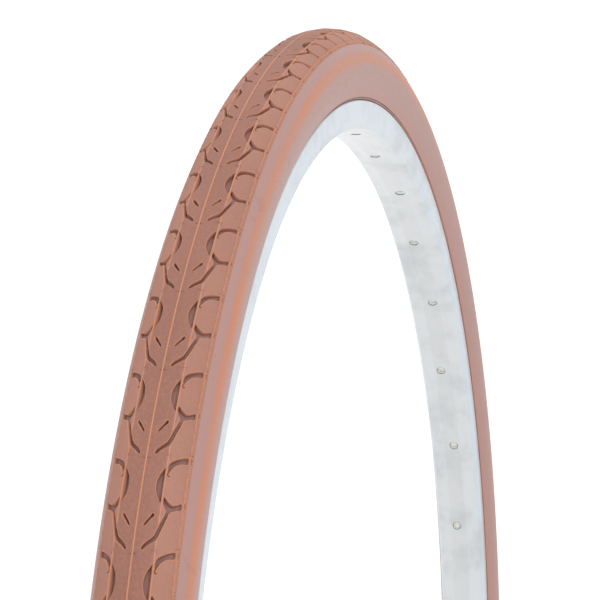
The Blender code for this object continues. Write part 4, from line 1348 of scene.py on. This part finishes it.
def pad_mesh(half_length, half_width, hole, radius, thickness):
    """An oval pad that lies on the rim strip, thinned towards its edge, with a round hole for the stem."""
    rings = spread(0, 1, 8)
    columns = 64
    verts, faces = [], []
    for face in (0, 1):
        for share in rings:
            for column in range(columns):
                angle = math.tau * column / columns
                x = (hole + (half_length - hole) * share) * math.cos(angle)
                y = (hole + (half_width - hole) * share) * math.sin(angle)
                height = thickness * (1 - 0.7 * share**3) if face else 0.0
                verts.append((x, y, -math.sqrt((radius + height) ** 2 - x * x)))
    count = len(rings) * columns
    for column in range(columns):
        after = (column + 1) % columns
        for ring in range(len(rings) - 1):
            a, b = ring * columns + column, ring * columns + after
            faces.append((a, b, b + columns, a + columns))
            faces.append((count + a, count + a + columns, count + b + columns, count + b))
        for ring in (0, len(rings) - 1):
            a, b = ring * columns + column, ring * columns + after
            faces.append((a, b, count + b, count + a))
    return finish_mesh("stem_pad", verts, faces)


class TYRE_OT_valve_cap(bpy.types.Operator):
    """Build the ribbed cap and the seal inside it"""

    bl_idname = "tyre.valve_cap"
    bl_label = "Valve Cap"

    def execute(self, context):
        settings = context.scene.valve
        plastic = moulded_material("black_moulded_nylon", "1E1E20", 0.42, 0.25 * MM)
        rubber = moulded_material("moulded_seal_rubber", "252424", 0.7)
        low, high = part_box("valve_cap")
        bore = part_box("valve_stem")[1].x + FIT_GAP
        ceiling = high.z - 1.2 * MM
        thread = threaded(bore, low.z + 0.6 * MM, ceiling - 2 * MM, settings.thread_pitch, BORE_THREAD_DEPTH)

        def ribbed(reach, z, angle):
            if reach > high.x - 0.01 * MM and low.z + 0.9 * MM < z < high.z - 1.0 * MM:
                reach -= 0.22 * MM * (0.5 - 0.5 * math.cos(settings.ribs * angle))
            return thread(reach, z, angle)

        outline = [(0.0, high.z), (high.x - 1.2 * MM, high.z), (high.x - 0.5 * MM, high.z - 0.25 * MM)]
        outline += [(high.x - 0.15 * MM, high.z - 0.6 * MM), (high.x, high.z - 0.95 * MM)]
        outline += [(high.x, z) for z in spread(high.z - 1.1 * MM, low.z + 1.0 * MM, 6)]
        outline += [(high.x, low.z + 0.85 * MM), (high.x - 0.05 * MM, low.z + 0.1 * MM)]
        outline += [(high.x - 0.15 * MM, low.z), (bore + 0.3 * MM, low.z)]
        outline += face_rows(bore, ceiling, low.z + 0.3 * MM, settings.thread_pitch)[::-1]
        outline += [(0.0, ceiling)]
        cap = turned_mesh("ribbed_cap", outline, settings.ribs * 6, ribbed, 40.0)
        settle(new_piece("ribbed_cap", cap, plastic), "cap", "black_plastic", "valve_cap")

        low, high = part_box("valve_cap_seal")
        outline = [(1.2 * MM, low.z), (high.x, low.z), (high.x, high.z), (1.2 * MM, high.z)]
        seal = turned_mesh("cap_liner_ring", rounded(outline, 0.25 * MM, 4), 64, valve_point)
        settle(new_piece("cap_liner_ring", seal, rubber), "cap_liner", "seal_rubber", "valve_cap_seal")
        return {"FINISHED"}


class TYRE_OT_valve_core(bpy.types.Operator):
    """Build the screwed core: body, gasket, pin, seal and spring"""

    bl_idname = "tyre.valve_core"
    bl_label = "Valve Core"

    def execute(self, context):
        settings = context.scene.valve
        brass = metal_material("turned_brass", "C9A25A", 0.3)
        spring_steel = metal_material("drawn_spring_steel", "A9A9AC", 0.28)
        rubber = moulded_material("core_seal_rubber", "232323", 0.7)
        plastic = moulded_material("red_sealing_plastic", "9C2A22", 0.45)

        low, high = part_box("valve_core_body")
        thread_end, top = high.z - 5.4 * MM, high.z
        groove, barrel, bore, ledge = 1.4 * MM, 1.7 * MM, 1.2 * MM, 0.75 * MM
        barrel_top, ledge_top = thread_end - 2.8 * MM, low.z + 2.0 * MM
        outline = [(bore + 0.2 * MM, top), (high.x - 0.25 * MM, top)]
        outline += face_rows(high.x, top - 0.2 * MM, thread_end + 0.3 * MM, CORE_THREAD_PITCH)
        outline += [(high.x - 0.2 * MM, thread_end), (groove, thread_end)]
        outline += [(groove, barrel_top), (barrel, barrel_top)]
        outline += [(barrel, low.z + 0.15 * MM), (barrel - 0.15 * MM, low.z)]
        outline += [(ledge, low.z), (ledge, ledge_top), (bore, ledge_top), (bore, top - 0.2 * MM)]
        place = threaded(
            high.x, thread_end + 0.3 * MM, top - 0.2 * MM, CORE_THREAD_PITCH, CORE_THREAD_DEPTH
        )
        body = turned_mesh("threaded_core_body", outline, 40, place, 45.0)
        settle(new_piece("threaded_core_body", body, brass), "wheel", "raw_brass", "valve_core_body")

        low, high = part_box("valve_core_gasket")
        outline = [(high.x, high.z), (high.x - 0.1 * MM, (low.z + high.z) / 2), (high.x - 0.3 * MM, low.z)]
        outline += [(barrel, low.z), (barrel, high.z)]
        gasket = turned_mesh("tapered_gasket", rounded(outline, 0.12 * MM, 3), 40, valve_point)
        settle(new_piece("tapered_gasket", gasket, plastic), "wheel", "gasket_plastic", "valve_core_gasket")

        low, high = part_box("valve_core_pin")
        shaft, head, collar = 0.45 * MM, 0.8 * MM, high.x
        collar_top = high.z - 3.0 * MM
        outline = [(0.0, high.z), (head * 0.7, high.z - 0.04 * MM), (head, high.z - 0.25 * MM)]
        outline += [(head, high.z - 1.5 * MM), (shaft, high.z - 1.6 * MM)]
        outline += [(shaft, collar_top), (collar, collar_top)]
        outline += [(collar, collar_top - 0.5 * MM), (shaft, collar_top - 0.5 * MM)]
        outline += [(shaft, low.z + 0.6 * MM), (collar, low.z + 0.6 * MM)]
        outline += [(collar, low.z + 0.1 * MM), (collar - 0.1 * MM, low.z), (0.0, low.z)]
        pin = turned_mesh("headed_pin", outline, 32, valve_point)
        settle(new_piece("headed_pin", pin, brass), "core_plunger", "raw_brass", "valve_core_pin")

        low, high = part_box("valve_core_seal")
        outline = [(ledge, low.z), (high.x, low.z), (high.x, high.z), (ledge, high.z)]
        seal = turned_mesh("core_seal_ring", rounded(outline, 0.2 * MM, 4), 40, valve_point)
        settle(new_piece("core_seal_ring", seal, rubber), "core_plunger", "seal_rubber", "valve_core_seal")

        low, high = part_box("valve_core_spring")
        wire = 0.14 * MM
        spring = spring_mesh(0.82 * MM, wire, low.z + wire, high.z - wire, settings.spring_turns)
        piece = new_piece("coiled_spring", spring, spring_steel)
        settle(piece, "wheel", "bright_steel", "valve_core_spring")
        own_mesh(piece)
        return {"FINISHED"}


def spring_mesh(coil, wire, low, high, turns):
    """A coil spring with a closed flat turn at each end."""
    steps, sides = turns * 24, 10
    verts, faces = [], []
    for step in range(steps + 1):
        angle = math.tau * turns * step / steps
        share = step / steps
        flat = 0.5 / turns
        rise = min(max((share - flat) / (1 - 2 * flat), 0.0), 1.0)
        centre = Vector((coil * math.cos(angle), coil * math.sin(angle), low + (high - low) * rise))
        out = Vector((math.cos(angle), math.sin(angle), 0))
        for side in range(sides):
            turn = math.tau * side / sides
            verts.append(centre + out * wire * math.cos(turn) + Vector((0, 0, wire * math.sin(turn))))
    for step in range(steps):
        for side in range(sides):
            after = (side + 1) % sides
            a, b = step * sides, (step + 1) * sides
            faces.append((a + side, a + after, b + after, b + side))
    faces.append(tuple(range(sides)))
    faces.append(tuple(reversed(range(steps * sides, (steps + 1) * sides))))
    return finish_mesh("coiled_spring", verts, faces)


# ---------------------------------------------------------------- stage


class StageSettings(bpy.types.PropertyGroup):
    """Floor, light and camera."""

    floor_colour: colour_property("Floor", "Colour of the studio floor", "FFFFFF")
    back_strength: FloatProperty(
        name="White Surround", description="Brightness behind and above the wheel", default=1.1, min=0
    )
    front_strength: FloatProperty(
        name="Front Surround", description="Brightness of the side that the camera is on", default=0.48, min=0
    )
    top_strength: FloatProperty(
        name="Overhead Light", description="Strength of the broad light from above", default=0.6, min=0
    )
    right_power: FloatProperty(
        name="Right Light", description="Power of the light on the camera's right",
        default=5.0, min=0, subtype="POWER", unit="POWER",
    )
    left_power: FloatProperty(
        name="Left Light", description="Power of the light on the camera's left",
        default=1.5, min=0, subtype="POWER", unit="POWER",
    )
    lens: FloatProperty(
        name="Lens", description="Focal length in millimetres", default=130.9, min=10, max=300
    )


CAMERA_PLACE = Vector((-0.97892, -0.22518, 0.26688))
CAMERA_AIM = Vector((0.96902, 0.24360, -0.04064))
CAMERA_RIGHT = Vector((0.24305, -0.96985, -0.01798))


def studio_surround(settings):
    """A surround that is white behind and above the wheel, and dimmer on the camera's side."""
    world = bpy.data.worlds.new("studio_surround")
    world.use_nodes = True
    tree = world.node_tree
    way = add_node(tree, "ShaderNodeTexCoord").outputs["Generated"]
    parts = add_node(tree, "ShaderNodeSeparateXYZ", {"Vector": way}).outputs
    back = ramp(tree, parts["X"], 0.75, 0.93)
    above = ramp(tree, parts["Z"], 0.2, 0.8)
    white = math_node(tree, "MAXIMUM", back, above)
    strength = add_node(
        tree,
        "ShaderNodeMapRange",
        {"Value": white, "To Min": settings.front_strength, "To Max": settings.back_strength},
    )
    background = tree.nodes["Background"]
    background.inputs["Color"].default_value = (1, 1, 1, 1)
    tree.links.new(strength.outputs["Result"], background.inputs["Strength"])
    return world


def add_light(name, kind, energy, place, **settings):
    """A light that faces the wheel's centre."""
    data = bpy.data.lights.new(name, kind)
    data.energy = energy
    for key, value in settings.items():
        setattr(data, key, value)
    light = bpy.data.objects.new(name, data)
    light.location = place
    light.rotation_euler = (-place).to_track_quat("-Z", "Y").to_euler()
    bpy.context.scene.collection.objects.link(light)


class TYRE_OT_stage(bpy.types.Operator):
    """Build the floor, the lights and the camera"""

    bl_idname = "tyre.stage"
    bl_label = "Stage"

    def execute(self, context):
        settings = context.scene.stage
        scene = context.scene
        form = bmesh.new()
        bmesh.ops.create_grid(form, x_segments=1, y_segments=1, size=20)
        bmesh.ops.translate(form, verts=form.verts, vec=(0, 0, CAD_BOX[0][2] - 1 * MM))
        mesh = bpy.data.meshes.new("floor")
        form.to_mesh(mesh)
        form.free()
        new_piece("floor", mesh, floor_material(settings))

        scene.world = studio_surround(settings)
        scene.view_settings.view_transform = "Standard"
        above = Vector((-0.2, 0.25, 2.0))
        add_light("overhead_light", "SUN", settings.top_strength, above, angle=math.radians(100))
        add_light("right_light", "AREA", settings.right_power, Vector((-1.0, -0.8, 0.95)), size=0.7)
        add_light("left_light", "AREA", settings.left_power, Vector((-0.7, 1.1, 0.4)), size=0.9)

        data = bpy.data.cameras.new("camera")
        data.lens = settings.lens
        data.clip_start = 0.01
        camera = bpy.data.objects.new("camera", data)
        aim = CAMERA_AIM.normalized()
        right = (CAMERA_RIGHT - aim * CAMERA_RIGHT.dot(aim)).normalized()
        turn = Matrix((right, right.cross(aim), -aim)).transposed().to_4x4()
        camera.matrix_world = Matrix.Translation(CAMERA_PLACE) @ turn
        scene.collection.objects.link(camera)
        scene.camera = camera
        return {"FINISHED"}


class TYRE_PT_builder(bpy.types.Panel):
    """Lists the wheel's pieces and their settings"""

    bl_idname = "TYRE_PT_builder"
    bl_label = "Bicycle Tyre"
    bl_space_type = "VIEW_3D"
    bl_region_type = "UI"
    bl_category = "Tyre"

    def draw(self, context):
        for group in (getattr(context.scene, name) for name in SETTINGS):
            box = self.layout.box()
            for name in group.bl_rna.properties.keys():
                if name not in ("rna_type", "name"):
                    box.prop(group, name)
        for operator in OPERATORS:
            self.layout.operator(operator.bl_idname)


SETTINGS = {"tyre": TyreSettings, "rim": RimSettings, "valve": ValveSettings, "stage": StageSettings}
OPERATORS = (
    TYRE_OT_tread,
    TYRE_OT_sidewalls,
    TYRE_OT_carcass,
    TYRE_OT_rim,
    TYRE_OT_valve_stem,
    TYRE_OT_valve_cap,
    TYRE_OT_valve_core,
    TYRE_OT_stage,
)


def register():
    for group in SETTINGS.values():
        bpy.utils.register_class(group)
    for name, group in SETTINGS.items():
        setattr(bpy.types.Scene, name, PointerProperty(type=group))
    for operator in (*OPERATORS, TYRE_PT_builder):
        bpy.utils.register_class(operator)


def unregister():
    for operator in (TYRE_PT_builder, *reversed(OPERATORS)):
        bpy.utils.unregister_class(operator)
    for name, group in SETTINGS.items():
        delattr(bpy.types.Scene, name)
        bpy.utils.unregister_class(group)


def main():
    register()
    for operator in OPERATORS:
        group, _, name = operator.bl_idname.partition(".")
        getattr(getattr(bpy.ops, group), name)()


if __name__ == "__main__":
    main()
